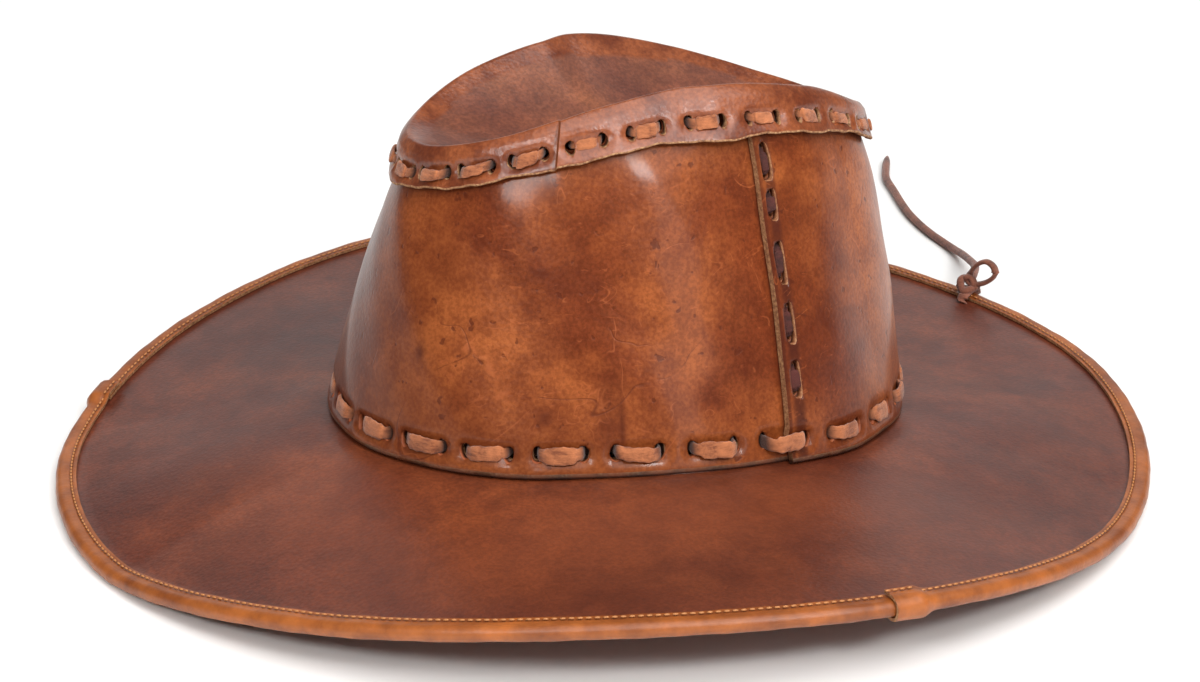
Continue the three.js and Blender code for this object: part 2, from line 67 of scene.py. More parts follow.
# Crown wall's outer face at three heights, and how far it leans back
WALL_LEVELS = (
    {"height": 0.0195, "half_width": 0.0894, "half_length": 0.1015, "back": 0.0},
    {"height": 0.054, "half_width": 0.0782, "half_length": 0.0956, "back": 0.002},
    {"height": 0.115, "half_width": 0.0555, "half_length": 0.0815, "back": 0.0068},
)
WALL_TOP_DROP = 0.0038
WALL_TOP_BEVEL = 0.0028
WALL_FOOT_ROUNDING = 0.0022
WALL_FOOT_STEP = 0.0003
WALL_START = 0.035
UNDERLAP_DROP = 0.8
HIDDEN_LEAN = 0.2

# Round the hat, every 30 degrees: the brim's edge, the wall's foot, the rim's hem and its rise
AROUND = (
    {"edge_x": 0.0, "edge_y": -0.193, "edge_height": -0.001, "foot": 0.025, "hem": 0.109, "rise": 0.014},
    {"edge_x": 0.09, "edge_y": -0.165, "edge_height": 0.0105, "foot": 0.027, "hem": 0.1165, "rise": 0.013},
    {"edge_x": 0.16, "edge_y": -0.098, "edge_height": 0.022, "foot": 0.0285, "hem": 0.125, "rise": 0.014},
    {"edge_x": 0.188, "edge_y": -0.001, "edge_height": 0.019, "foot": 0.026, "hem": 0.1265, "rise": 0.0155},
    {"edge_x": 0.158, "edge_y": 0.093, "edge_height": 0.0035, "foot": 0.02, "hem": 0.121, "rise": 0.014},
    {"edge_x": 0.089, "edge_y": 0.16, "edge_height": -0.0015, "foot": 0.015, "hem": 0.108, "rise": 0.013},
    {"edge_x": 0.0, "edge_y": 0.19, "edge_height": 0.0, "foot": 0.011, "hem": 0.099, "rise": 0.013},
    {"edge_x": -0.093, "edge_y": 0.165, "edge_height": 0.005, "foot": 0.0115, "hem": 0.103, "rise": 0.0125},
    {"edge_x": -0.158, "edge_y": 0.093, "edge_height": 0.013, "foot": 0.016, "hem": 0.113, "rise": 0.013},
    {"edge_x": -0.181, "edge_y": -0.001, "edge_height": 0.0165, "foot": 0.0195, "hem": 0.121, "rise": 0.014},
    {"edge_x": -0.157, "edge_y": -0.096, "edge_height": 0.0085, "foot": 0.022, "hem": 0.1175, "rise": 0.014},
    {"edge_x": -0.092, "edge_y": -0.167, "edge_height": -0.0005, "foot": 0.024, "hem": 0.11, "rise": 0.014},
)

# Soft unevenness of the crown: waves per turn, waves per metre up, phase and depth
CROWN_DENTS = (
    {"per_turn": 2, "per_metre": 5.0, "phase": 0.6, "depth": 0.0008},
    {"per_turn": 5, "per_metre": 9.0, "phase": 2.2, "depth": 0.0005},
    {"per_turn": 9, "per_metre": 16.0, "phase": 4.1, "depth": 0.00025},
    {"per_turn": 17, "per_metre": 31.0, "phase": 1.3, "depth": 0.00012},
)
BRIM_WAVES = (
    {"per_turn": 3, "phase": 0.9, "depth": 0.0009},
    {"per_turn": 7, "phase": 2.6, "depth": 0.0005},
    {"per_turn": 13, "phase": 4.4, "depth": 0.0002},
)
HEM_WAVES = (
    {"per_turn": 11, "phase": 0.4, "depth": 0.0005},
    {"per_turn": 29, "phase": 1.9, "depth": 0.0002},
    {"per_turn": 67, "phase": 3.2, "depth": 0.0001},
)

# The wall turns in a little under the rim
SHOULDER = {"height": 0.015, "depth": 0.001}

# Side seams, where the back panel laps over the front panel
SEAM_AZIMUTH = 98.0
LAP_ANGLE = 12.0
LAP_LIFT = LEATHER + GAP
LAP_PAST = (-18.0, -8.0, 12.0, 32.0)
LAP_SHARE = (0.0, 1.0, 1.0, 0.0)

# The strip of dark stain that the seam's slots lie in, in degrees past the seam
SLOT_STRIP = {"past": 2.63, "half": 1.35}

# Darker places on the crown, in metres, with the mean size of a degree there: the first row is painted shade
# on the side turned from the light, the next two darken a band along the foot's laces, and the rest are
# stains and spots
METRES_PER_DEGREE = 0.0016
CROWN_MARKS_AND_SHADE = (
    {"azimuth": -20.0, "height": 0.06, "width": 0.05, "tall": 0.06, "depth": 0.42},
    {"azimuth": 60.0, "height": 0.036, "width": 0.05, "tall": 0.012, "depth": 0.2},
    {"azimuth": 35.0, "height": 0.036, "width": 0.04, "tall": 0.016, "depth": 0.32},
    {"azimuth": 12.0, "height": 0.06, "width": 0.02, "tall": 0.03, "depth": 0.35},
    {"azimuth": 22.0, "height": 0.09, "width": 0.012, "tall": 0.012, "depth": 0.3},
    {"azimuth": 52.0, "height": 0.088, "width": 0.012, "tall": 0.008, "depth": 0.25},
    {"azimuth": 62.0, "height": 0.049, "width": 0.004, "tall": 0.014, "depth": 0.4},
    {"azimuth": 64.5, "height": 0.045, "width": 0.001, "tall": 0.009, "depth": 0.6},
    {"azimuth": 49.0, "height": 0.047, "width": 0.0028, "tall": 0.0022, "depth": 0.6},
    {"azimuth": 19.0, "height": 0.062, "width": 0.0022, "tall": 0.0026, "depth": 0.6},
    {"azimuth": 47.0, "height": 0.09, "width": 0.0035, "tall": 0.0012, "depth": 0.7},
    {"azimuth": 118.0, "height": 0.08, "width": 0.006, "tall": 0.006, "depth": 0.5},
    {"azimuth": 112.0, "height": 0.066, "width": 0.009, "tall": 0.007, "depth": 0.45},
    {"azimuth": 107.0, "height": 0.1, "width": 0.012, "tall": 0.01, "depth": 0.3},
)

# Stains on the brim, and rubbed, warmer places beside the crown's foot
BRIM_STAINS = (
    {"at": (0.145, -0.09, 0.02), "size": (0.035, 0.06, 0.05), "depth": 0.42},
    {"at": (0.16, -0.01, 0.02), "size": (0.03, 0.04, 0.05), "depth": 0.3},
    {"at": (-0.02, -0.15, 0.01), "size": (0.02, 0.015, 0.03), "depth": 0.3},
    {"at": (0.03, -0.165, 0.01), "size": (0.016, 0.012, 0.03), "depth": 0.35},
    {"at": (0.085, 0.13, 0.01), "size": (0.03, 0.02, 0.03), "depth": 0.25},
)
BRIM_RUBS = (
    {"at": (0.1, -0.06, 0.028), "size": (0.03, 0.07, 0.03), "depth": 0.6},
    {"at": (0.115, 0.02, 0.026), "size": (0.025, 0.05, 0.03), "depth": 0.5},
    {"at": (0.03, -0.125, 0.02), "size": (0.06, 0.03, 0.03), "depth": 0.5},
)

# Brim
COLLAR_HEIGHT = 0.0135
BRIM_SEAT = 0.006
LEVEL_EDGE = 0.009
BRIM_EASE = 1.2
COLLAR_STRAIGHT = 0.8
COLLAR_BEND = {"top": 0.0015, "under": 0.003}
BRIM_START = 0.03
BRIM_HALF = {"x": 0.185, "y": 0.19}
FOOT_HALF = {"x": 0.089, "y": 0.101}
# Where the outer brim's purplish tone with painted sheen begins, and over what share it grows
FAR_BRIM = {"from": 0.62, "over": 0.3}

# Binding in two strips with lapped ends
BINDING_WIDTH = 0.0075
BINDING_SPACE = BINDING_LEATHER + GAP
LEFT_JOINT = 86.0
RIGHT_JOINT = 317.0
BINDING_LAP_ANGLE = 3.0
BINDING_LAP_BLEND = 1.2
BINDING_END_GAP = 0.3
BINDING_FLAT = 0.0042
BINDING_SHRINK = 0.00014
BINDING_WAVES = (
    {"per_turn": 41, "phase": 0.0, "depth": 0.00008},
    {"per_turn": 97, "phase": 1.0, "depth": 0.00005},
)
STITCH_FROM_EDGE = 0.0058
STITCH_SINK = 0.00025
STITCH_HALF_SHARE = 0.37
STITCH_LIFT = {1: 0.2, -1: -0.5}
STITCH_FINE = 0.25
STITCH_AHEAD = 0.2

# Rim and dent of the top panel
RIM_LEAN = 0.0016
RIM_ROUNDING = 0.0013
UNDER_RIM_ROUNDING = 0.0012
HEM_ROUNDING = 0.0009
HEM_STEP = 0.0004
FLANGE_SPAN = (0.03, 0.8)
TOP_THICKNESS = LEATHER * 1.08
DENT_START = 0.09
RIM_DART = {
    "azimuth": 49.0,
    "step": 0.1,
    "lower": 0.0012,
    "lower_over": 22.0,
    "lift": 0.0014,
    "lift_over": 9.0,
}
VALLEY_HALF_LENGTH = 0.052
VALLEY_MIDDLE_Y = 0.006
VALLEY_FRONT = 0.116
VALLEY_BACK = 0.105
VALLEY_POWER = 1.5

# Laces
LACE_COUNT = 24
PRESS = {"depth": 0.0012, "foot_reach": 0.0026, "rim_reach": 0.0022}
TRENCH = {"steep": 1.5, "cut": 0.35}
BASE_LACE = {"half": 0.0074, "first": 7.5, "above": 0.0076, "bulge": 0.0002}
RIM_LACE = {"half": 0.0052, "first": -4.0, "bulge": 0.0001, "share": 0.35}
SEAM_LACE = {"past": 0.0044, "tuck": 0.004, "bulge": 0.0, "sunk": 0.0009}
LACE_VARIES = {"width": 0.11, "pinched": 0.8, "tilt": 0.0005, "height": 0.00025, "ripple": 0.05}
SEAM_STITCHES = ((0.0218, 0.0308), (0.0387, 0.0489), (0.057, 0.0675), (0.0764, 0.0834))
SEAM_TOP = {"below": 0.004, "length": 0.009}

# Tie on the brim's back edge
TIE_AZIMUTH = 194.0
THONG_OFF = 0.0011
THONG_END = (0.95, 0.85, 0.65, 0.35)
BAND_SIZE = (0.0042, 0.0014)

# The knot's two turns and its bow: points as reach out from the brim's edge, height and distance across
TIE_STRANDS = (
    {
        "name": "turn_one", "width": 0.0030, "thickness": 0.0026, "sharp": 1.0,
        "route": (
            (-0.0085, 0.0, -0.0005),
            (-0.0065, 0.0028, 0.0022),
            (-0.0030, 0.0030, 0.0024),
            (-0.0008, 0.0006, 0.0004),
            (-0.0025, 0.0004, -0.0024),
            (-0.0065, 0.0006, -0.0026),
        ),
    },
    {
        "name": "turn_two", "width": 0.0030, "thickness": 0.0024, "sharp": 1.0,
        "route": (
            (-0.0060, 0.0002, 0.0028),
            (-0.0048, 0.0036, 0.0014),
            (-0.0040, 0.0038, -0.0012),
            (-0.0050, 0.0006, -0.0030),
        ),
    },
    {
        "name": "bow", "width": 0.0032, "thickness": 0.0018, "sharp": 0.8,
        "route": (
            (-0.0045, 0.0022, -0.0005),
            (-0.0030, 0.0052, 0.0004),
            (-0.0018, 0.0090, -0.0016),
            (-0.0012, 0.0112, -0.0056),
            (-0.0010, 0.0098, -0.0092),
            (-0.0012, 0.0066, -0.0098),
            (-0.0020, 0.0036, -0.0070),
            (-0.0034, 0.0020, -0.0034),
        ),
    },
)
TAIL_DIAMETER = 0.0033
TAIL_ROUTE = (
    (-0.046, 0.1831, 0.0114),
    (-0.05, 0.1872, 0.0112),
    (-0.056, 0.1925, 0.0105),
    (-0.063, 0.1975, 0.0093),
    (-0.071, 0.2015, 0.0076),
    (-0.079, 0.2055, 0.0057),
    (-0.087, 0.209, 0.004),
    (-0.096, 0.212, 0.0024),
    (-0.106, 0.214, 0.0018),
    (-0.116, 0.2155, 0.0017),
    (-0.128, 0.218, 0.0017),
    (-0.142, 0.222, 0.0017),
    (-0.155, 0.227, 0.0017),
    (-0.169, 0.233, 0.0017),
    (-0.183, 0.239, 0.0017),
    (-0.195, 0.247, 0.0017),
    (-0.207, 0.256, 0.0017),
)

# Camera at the photograph's angle
CAMERA = {
    "azimuth": 60.0,
    "elevation": 21.4,
    "distance": 1.05,
    "target": (-MIDDLE[0], -MIDDLE[1], 0.054),
    "focal_pixels": 3095.6,
    "frame_width": 1200,
    "offset_pixels": (17.2, -39.4),
    "sensor_mm": 36.0,
}

# Soft lights: azimuth and elevation seen from the hat, distance and size in metres, power in watts
LIGHTS = (
    {"name": "key", "azimuth": 36, "elevation": 32, "distance": 1.5, "size": (0.55, 0.22), "power": 7.5},
    {"name": "second", "azimuth": 95, "elevation": 33, "distance": 1.5, "size": (0.3, 0.18), "power": 5.5},
    {"name": "side", "azimuth": 97, "elevation": 14, "distance": 1.6, "size": (0.36, 0.7), "power": 1.8},
    {"name": "fill", "azimuth": 95, "elevation": 55, "distance": 2.2, "size": (1.2, 0.5), "power": 3.5},
    {"name": "behind", "azimuth": 240, "elevation": 20, "distance": 2.5, "size": (2.8, 1.1), "power": 8.0},
)
LIGHTS_AIM = (0.0, 0.0, 0.06)
CEILING = {"strength": 2.8, "spread": 70.0, "tilt": 26.0, "turn": 100.0, "height": 2.0}
ROOM_STRENGTH = 0.14
FLOOR_HALF = 6.0

# Punched holes: half sizes along the lace and across it, and half the punch's length
BRIM_HOLE = {"along": 0.0018, "across": 0.0027, "depth": 0.004}
FOOT_HOLE = {"along": 0.0018, "across": 0.0026, "depth": 0.006}
WALL_RIM_HOLE = {"along": 0.0016, "across": 0.0022, "depth": 0.008}
TOP_RIM_HOLE = {"along": 0.0016, "across": 0.0022, "depth": 0.005}
UNDERLAP_HOLE = {"along": 0.0017, "across": 0.0019, "depth": 0.003}
SEAM_SLOT = {"past": 0.0014, "across": 0.0021, "depth": 0.004, "square": 0.6}
PUNCH_SIDES = 20
HOLE_PROBE = 0.001
HOLE_RAGGED = 0.06
RAGGED_TURNS = 570.0

# Fineness of the meshes
TURN_STEPS = 720
COLLAR_ROWS = 8
WALL_ROWS = 74
WALL_FOOT_ROWS = 4
BRIM_ROWS = 46
FLANGE_ROWS = 14
DENT_ROWS = 26
FOLD_ROWS = 9
BINDING_FLAT_ROWS = 10
STITCH_RINGS = 4
STITCH_SIDES = 6
LACE_SIDES = 16
THONG_SIDES = 12
CURVE_STEPS = 4
THONG_STEPS = 8
TAIL_STEPS = 6
OUTSIDE, INSIDE, EDGE = 0, 1, 2


def colour(red, green, blue):
    """Linear colour from the usual 0 to 255 values."""
    parts = (channel / 255 for channel in (red, green, blue))
    return tuple(part / 12.92 if part <= 0.04045 else ((part + 0.055) / 1.055) ** 2.4 for part in parts)


class HatSizes(bpy.types.PropertyGroup):
    """Sizes of the laces and of the brim's thread"""

    base_lace_width: FloatProperty(
        name="Base lace width", description="Width of the lace at the crown's foot",
        default=0.0049, unit="LENGTH",
    )
    rim_lace_width: FloatProperty(
        name="Rim lace width", description="Width of the lace in the folded rim",
        default=0.0036, unit="LENGTH",
    )
    seam_lace_width: FloatProperty(
        name="Seam lace width", description="Width of the lace in the side seams",
        default=0.0038, unit="LENGTH",
    )
    lace_thickness: FloatProperty(
        name="Lace thickness", description="Thickness of the suede laces",
        default=0.0014, unit="LENGTH",
    )
    stitch_pitch: FloatProperty(
        name="Stitch pitch", description="Distance between the binding's stitches",
        default=0.0025, unit="LENGTH",
    )
    thread: FloatProperty(
        name="Thread", description="Thickness of the binding's thread",
        default=0.0008, unit="LENGTH",
    )


class HatColours(bpy.types.PropertyGroup):
    """Main colours of the leathers"""

    crown: FloatVectorProperty(
        name="Crown", description="Waxed leather of the crown",
        default=colour(138, 68, 33), subtype="COLOR",
    )
    brim: FloatVectorProperty(
        name="Brim", description="Satin leather of the brim",
        default=colour(100, 46, 23), subtype="COLOR",
    )
    top: FloatVectorProperty(
        name="Top", description="Leather of the top panel",
        default=colour(120, 68, 44), subtype="COLOR",
    )
    binding: FloatVectorProperty(
        name="Binding", description="Strip on the brim's edge",
        default=colour(150, 82, 33), subtype="COLOR",
    )
    lace: FloatVectorProperty(
        name="Lace", description="Suede laces of the foot and rim",
        default=colour(176, 104, 62), subtype="COLOR",
    )
    seam_lace: FloatVectorProperty(
        name="Seam lace", description="Dark lace of the side seams",
        default=colour(78, 30, 22), subtype="COLOR",
    )
    thong: FloatVectorProperty(
        name="Thong", description="Thong of the tie",
        default=colour(122, 70, 50), subtype="COLOR",
    )
    floor: FloatVectorProperty(
        name="Floor", description="Surface that the hat rests on",
        default=colour(246, 245, 243), subtype="COLOR",
    )


# Shape of the hat

def around(azimuth, column):
    """Smooth closed curve through one column of AROUND."""
    values = np.array([row[column] for row in AROUND])
    turn = np.mod(azimuth, FULL_TURN) / FULL_TURN * len(AROUND)
    row = np.floor(turn).astype(int)
    t = turn - row
    a, b, c, d = (values[(row + step) % len(AROUND)] for step in (-1, 0, 1, 2))
    slope_b, slope_c = (c - a) / 2, (d - b) / 2
    curve = 3 * (c - b) - 2 * slope_b - slope_c
    return b + t * (slope_b + t * (curve + t * (2 * (b - c) + slope_b + slope_c)))


def wall_size(height, column):
    """Parabola through the three wall levels."""
    total = 0.0
    for level in WALL_LEVELS:
        weight = level[column]
        for other in WALL_LEVELS:
            if other is not level:
                weight = weight * (height - other["height"]) / (level["height"] - other["height"])
        total = total + weight
    return total


def points(x, y, z):
    """Points from their coordinates, moved so that the brim's middle is the origin."""
    x, y, z = np.broadcast_arrays(x, y, z)
    return np.stack([x - MIDDLE[0], y - MIDDLE[1], z], axis=-1)


def wall_point(azimuth, height, out):
    """A point off the wall's outer face. Above the hem it leans in under the rim."""
    turn = np.radians(azimuth)
    width = wall_size(height, "half_width")
    length = wall_size(height, "half_length")
    hidden = np.maximum(0.0, height - around(azimuth, "hem"))
    off = out - HIDDEN_LEAN * np.sin(turn) ** 2 * hidden
    across, along = np.sin(turn) * length, -np.cos(turn) * width
    size = np.hypot(across, along)
    x = width * np.sin(turn) + off * across / size
    y = -length * np.cos(turn) + wall_size(height, "back") + off * along / size
    return points(x, y, height)


def seam_lift(azimuth):
    """How far the outermost leather stands off the plain wall at the side seams."""
    side = FULL_TURN / 2 - np.abs(np.mod(azimuth, FULL_TURN) - FULL_TURN / 2)
    share = np.interp(side - SEAM_AZIMUTH, LAP_PAST, LAP_SHARE)
    return LAP_LIFT * share * share * (3 - 2 * share)


def waves(table, azimuth, height=0.0):
    """Soft unevenness from a table of waves."""
    total = 0.0
    for row in table:
        upward = 2 * math.pi * row.get("per_metre", 0.0) * height
        total = total + row["depth"] * np.sin(row["per_turn"] * np.radians(azimuth) + upward + row["phase"])
    return total


def edge_height(azimuth):
    """Height of the binding's underside, which nowhere goes below the surface it rests on."""
    return np.maximum(0.0, around(azimuth, "edge_height"))


def brim_reach(azimuth):
    """Distance from the wall's foot to the brim's bound edge."""
    foot = wall_point(azimuth, around(azimuth, "foot") - GAP, 0.0)
    edge = points(around(azimuth, "edge_x"), around(azimuth, "edge_y"), 0.0)
    return np.hypot(edge[..., 0] - foot[..., 0], edge[..., 1] - foot[..., 1])


def brim_point(azimuth, from_edge, above):
    """A point over the brim's top face, at a distance in from its bound edge."""
    seat = around(azimuth, "foot") - GAP
    foot = wall_point(azimuth, seat, 0.0)
    edge = points(around(azimuth, "edge_x"), around(azimuth, "edge_y"), 0.0)
    reach = brim_reach(azimuth)
    run = (edge - foot)[..., :2] / np.asarray(reach)[..., None]
    share = np.clip((reach - from_edge - BRIM_SEAT) / (reach - BRIM_SEAT - LEVEL_EDGE), 0.0, 1.0)
    edge_top = edge_height(azimuth) + BINDING_SPACE + LEATHER
    wave = waves(BRIM_WAVES, azimuth) * (4 * share * (1 - share)) ** 2
    height = seat + (edge_top - seat) * share**BRIM_EASE + wave + above
    return np.stack(
        np.broadcast_arrays(
            edge[..., 0] - run[..., 0] * from_edge,
            edge[..., 1] - run[..., 1] * from_edge,
            height,
        ),
        axis=-1,
    )


# Where the laces run: each place gives a point from a distance along, an offset off the wall, and one across

def base_place(azimuth, off, across):
    """Place of the lace at the wall's foot; its distance along is the azimuth."""
    return wall_point(azimuth, around(azimuth, "foot") + BASE_LACE["above"] + across, off)


def rim_place(azimuth, off, across):
    """Place of the lace in the folded rim; its distance along is the azimuth."""
    height = around(azimuth, "hem") + around(azimuth, "rise") * RIM_LACE["share"]
    return wall_point(azimuth, height + across, off)


def seam_place(hand):
    """Place of the lace up one side seam; hand is 1 for the wearer's left."""
    middle_length = WALL_LEVELS[1]["half_length"]
    side = SEAM_AZIMUTH + math.degrees(SEAM_LACE["past"] / middle_length)
    azimuth = side if hand > 0 else FULL_TURN - side

    def place(distance, off, across):
        height = around(azimuth, "foot") + distance
        return wall_point(azimuth + np.degrees(across / middle_length), height, off)

    return place


def seam_spans(hand):
    """Start and end of each stitch of a side seam, in metres up from the foot, and 1 for the scale."""
    azimuth = SEAM_AZIMUTH if hand > 0 else FULL_TURN - SEAM_AZIMUTH
    top = float(around(azimuth, "hem") - around(azimuth, "foot")) - SEAM_TOP["below"]
    return [(start, end, 1.0) for start, end in (*SEAM_STITCHES, (top - SEAM_TOP["length"], top))]


def ring_spans(lace, place):
    """Start and end azimuth of each stitch round the crown, and degrees per metre there."""
    spans = []
    for i in range(LACE_COUNT):
        middle = lace["first"] + i * FULL_TURN / LACE_COUNT
        per_degree = float(np.linalg.norm(place(middle + 0.5, 0.0, 0.0) - place(middle - 0.5, 0.0, 0.0)))
        half = lace["half"] / per_degree
        spans.append((middle - half, middle + half, 1 / per_degree))
    return spans


def holes_of(spans, place):
    """Middle of each punched hole on the leather."""
    return np.array([place(end, 0.0, 0.0) for span in spans for end in span[:2]])


BASE_HOLES = holes_of(ring_spans(BASE_LACE, base_place), base_place)
RIM_HOLES = holes_of(ring_spans(RIM_LACE, rim_place), rim_place)
SEAM_HOLES = np.concatenate([holes_of(seam_spans(hand), seam_place(hand)) for hand in (1, -1)])


def nearness(places, holes, reach):
    """1 at a hole, falling to 0 a few times reach away."""
    best = np.zeros(places.shape[:-1])
    for hole in holes:
        best = np.maximum(best, np.exp(-((places - hole) ** 2).sum(-1) / (2 * reach**2)))
    return best


def on_line(places, ends, reach):
    """1 on the straight lines between pairs of ends, falling to 0 a few times reach away."""
    best = np.zeros(places.shape[:-1])
    for start, end in zip(ends[::2], ends[1::2]):
        line = end - start
        share = np.clip(((places - start) @ line) / (line @ line), 0.0, 1.0)
        gap = places - (start + share[..., None] * line)
        best = np.maximum(best, np.exp(-(gap**2).sum(-1) / (2 * reach**2)))
    return best


def fading(distance, reach):
    """1 at no distance, falling with it; 1 on the other side too."""
    return np.exp(-np.clip(distance, 0.0, 1.0) / reach)


def bell(distance, width, power=2):
    """1 at no distance, falling on both sides; a higher power makes the edges steeper."""
    return np.exp(-((distance / width) ** power))


def trench(places, ends, reach):
    """1 where leather is pressed in under a stitch, with steep sides."""
    return np.clip(TRENCH["steep"] * on_line(places, ends, reach) - TRENCH["cut"], 0.0, 1.0)


# Meshes

def fillet(before, corner, after, radius, steps=4):
    """Points that round a corner of a section; each is an array with a row per section."""
    to_before, to_after = before - corner, after - corner
    start = corner + to_before * radius / np.linalg.norm(to_before, axis=-1, keepdims=True)
    end = corner + to_after * radius / np.linalg.norm(to_after, axis=-1, keepdims=True)
    rounded = []
    for t in np.linspace(0.0, 1.0, steps + 1):
        rounded.append((1 - t) ** 2 * start + 2 * t * (1 - t) * corner + t**2 * end)
    return rounded


def new_piece(name, vertices, faces, kinds, finishes, crease=40.0):
    """A smooth shaded mesh whose faces take their finish by kind, riding on the hat's body."""
    mesh = bpy.data.meshes.new(name)
    mesh.from_pydata(vertices.reshape(-1, 3).tolist(), [], faces)
    for finish in finishes:
        mesh.materials.append(finish)
    mesh.polygons.foreach_set("material_index", kinds)
    mesh.shade_smooth()
    mesh.set_sharp_from_angle(angle=math.radians(crease))
    mesh.update()
    piece = bpy.data.objects.new(name, mesh)
    bpy.context.scene.collection.objects.link(piece)
    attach(piece, BODY)
    return piece


def signed_volume(vertices, faces):
    """Below 0 when the faces of a closed mesh point inwards."""
    corners = vertices.reshape(-1, 3)[np.array([face[:3] for face in faces])]
    return float(np.einsum("ij,ij->i", corners[:, 0], np.cross(corners[:, 1], corners[:, 2])).sum())


def loop_faces(sections, count, ring, kinds):
    """Faces and their kinds for a solid swept through closed loops of count points."""
    faces, face_kinds = [], []
    for s in range(sections if ring else sections - 1):
        here, there = s * count, (s + 1) % sections * count
        for k in range(count):
            n = (k + 1) % count
            faces.append((here + k, there + k, there + n, here + n))
            face_kinds.append(kinds[k])
    if not ring:
        last = (sections - 1) * count
        for k in range(count // 2 - 1):
            pair = count - 1 - k
            faces.append((k, k + 1, pair - 1, pair))
            faces.append((last + k, last + pair, last + pair - 1, last + k + 1))
            face_kinds += [EDGE, EDGE]
    return faces, face_kinds


def swept(name, loops, ring, kinds, finishes, crease=40.0):
    """A solid swept through loops: an array of sections by points by 3. Each loop has an even count."""
    sections, count = loops.shape[:2]
    faces, face_kinds = loop_faces(sections, count, ring, kinds)
    if signed_volume(loops, faces) < 0:
        faces = [face[::-1] for face in faces]
    return new_piece(name, loops, faces, face_kinds, finishes, crease)


def section_loops(outer, inner):
    """Loops from lists of outer and inner rows, where a row has a point for each section."""
    rows = [*outer, *inner[::-1]]
    return np.stack(rows, axis=1)


def loop_kinds(outer_count, inner_count):
    """Kinds of the faces of a loop: the outside, the cut edge, the inside and the other cut edge."""
    return [OUTSIDE] * (outer_count - 1) + [EDGE] + [INSIDE] * (inner_count - 1) + [EDGE]


def paint(piece, name, values):
    """Stores a number from 0 to 1 for each vertex, which the finish reads."""
    attribute = piece.data.attributes.new(name, "FLOAT", "POINT")
    attribute.data.foreach_set("value", np.clip(values, 0.0, 1.0).astype(np.float32))


def vertices_of(piece):
    """A row with x, y and z for each vertex."""
    flat = np.zeros(len(piece.data.vertices) * 3)
    piece.data.vertices.foreach_get("co", flat)
    return flat.reshape(-1, 3)


def hole_punches(holes, finishes):
    """One mesh with a punch for each hole: middle, direction through, sizes along and across."""
    sides = PUNCH_SIDES
    vertices, faces = [], []
    for middle, along, across, through, size in holes:
        first = len(vertices)
        square = size.get("square", 1.0)
        for reach in (-size["depth"], size["depth"]):
            for k in range(sides):
                turn = 2 * math.pi * (k + 0.5) / sides
                ragged = 1 + HOLE_RAGGED * math.sin(3 * turn + RAGGED_TURNS * float(middle[0] + middle[2]))
                c, s = math.cos(turn), math.sin(turn)
                spot = along * math.copysign(abs(c) ** square, c) * size["along"]
                spot = spot + across * math.copysign(abs(s) ** square, s) * size["across"]
                vertices.append(middle + through * reach + spot * ragged)
        faces += [
            tuple(first + k for k in range(sides))[::-1],
            tuple(first + sides + k for k in range(sides)),
        ]
        for k in range(sides):
            n = (k + 1) % sides
            faces.append((first + k, first + n, first + sides + n, first + sides + k))
    vertices = np.array(vertices)
    if signed_volume(vertices, faces) < 0:
        faces = [face[::-1] for face in faces]
    return new_piece("punches", vertices, faces, [EDGE] * len(faces), finishes)


def cut_holes(piece, holes):
    """Cuts the punched holes out of a leather piece."""
    punches = hole_punches(holes, list(piece.data.materials))
    cut = piece.modifiers.new("holes", "BOOLEAN")
    cut.operation = "DIFFERENCE"
    cut.solver = "MANIFOLD"
    cut.object = punches
    graph = bpy.context.evaluated_depsgraph_get()
    whole = piece.data
    piece_cut = bpy.data.meshes.new_from_object(piece.evaluated_get(graph))
    piece.modifiers.clear()
    piece.data = piece_cut
    bpy.data.meshes.remove(whole)
    used = punches.data
    bpy.data.objects.remove(punches)
    bpy.data.meshes.remove(used)
    if len(piece.data.vertices) < TURN_STEPS:
        raise RuntimeError(f"{piece.name} lost its faces when the holes were cut")


def unit(vector):
    """The vector at length 1."""
    return vector / np.linalg.norm(vector)


def hole_at(distance, step, place, offs, size):
    """A hole through the leather at a distance along a lace; offs are the leather's two faces."""
    face, back = (place(distance, off, 0.0) for off in offs)
    through = unit(face - back)
    run = place(distance + HOLE_PROBE * step, 0.0, 0.0) - place(distance - HOLE_PROBE * step, 0.0, 0.0)
    across = unit(np.cross(through, run))
    return (face + back) / 2, np.cross(across, through), across, through, size


def lace_holes(spans, place, face_off, back_off, size):
    """Holes at both ends of each stitch; face_off gives the outer face's offset at a distance along."""
    return [
        hole_at(end, step, place, (face_off(end), back_off), size)
        for start, stop, step in spans
        for end in (start, stop)
    ]


# Finishes

# A Mix node has several sockets of the same name, so its colour sockets go by number
MIX_SOCKETS = {"factor": 0, "first": 6, "second": 7, "result": 2}


class Socket:
    """A value of a material. Arithmetic on it adds Math nodes."""

    def __init__(self, finish, socket):
        self.finish = finish
        self.socket = socket

    def calculate(self, operation, first, second, clamped=False):
        settings = {"operation": operation, "use_clamp": clamped}
        return self.finish.add("Math", settings, {0: first, 1: second})

    def __add__(self, other):
        return self.calculate("ADD", self, other)

    def __radd__(self, other):
        return self.calculate("ADD", other, self)

    def __sub__(self, other):
        return self.calculate("SUBTRACT", self, other)

    def __rsub__(self, other):
        return self.calculate("SUBTRACT", other, self)

    def __mul__(self, other):
        return self.calculate("MULTIPLY", self, other)

    def __rmul__(self, other):
        return self.calculate("MULTIPLY", other, self)

    def above(self, start, end):
        """0 below start, 1 above end, and smooth between."""
        settings = {"interpolation_type": "SMOOTHSTEP"}
        sockets = {"Value": self, "From Min": start, "From Max": end, "To Min": 0.0, "To Max": 1.0}
        return self.finish.add("MapRange", settings, sockets)


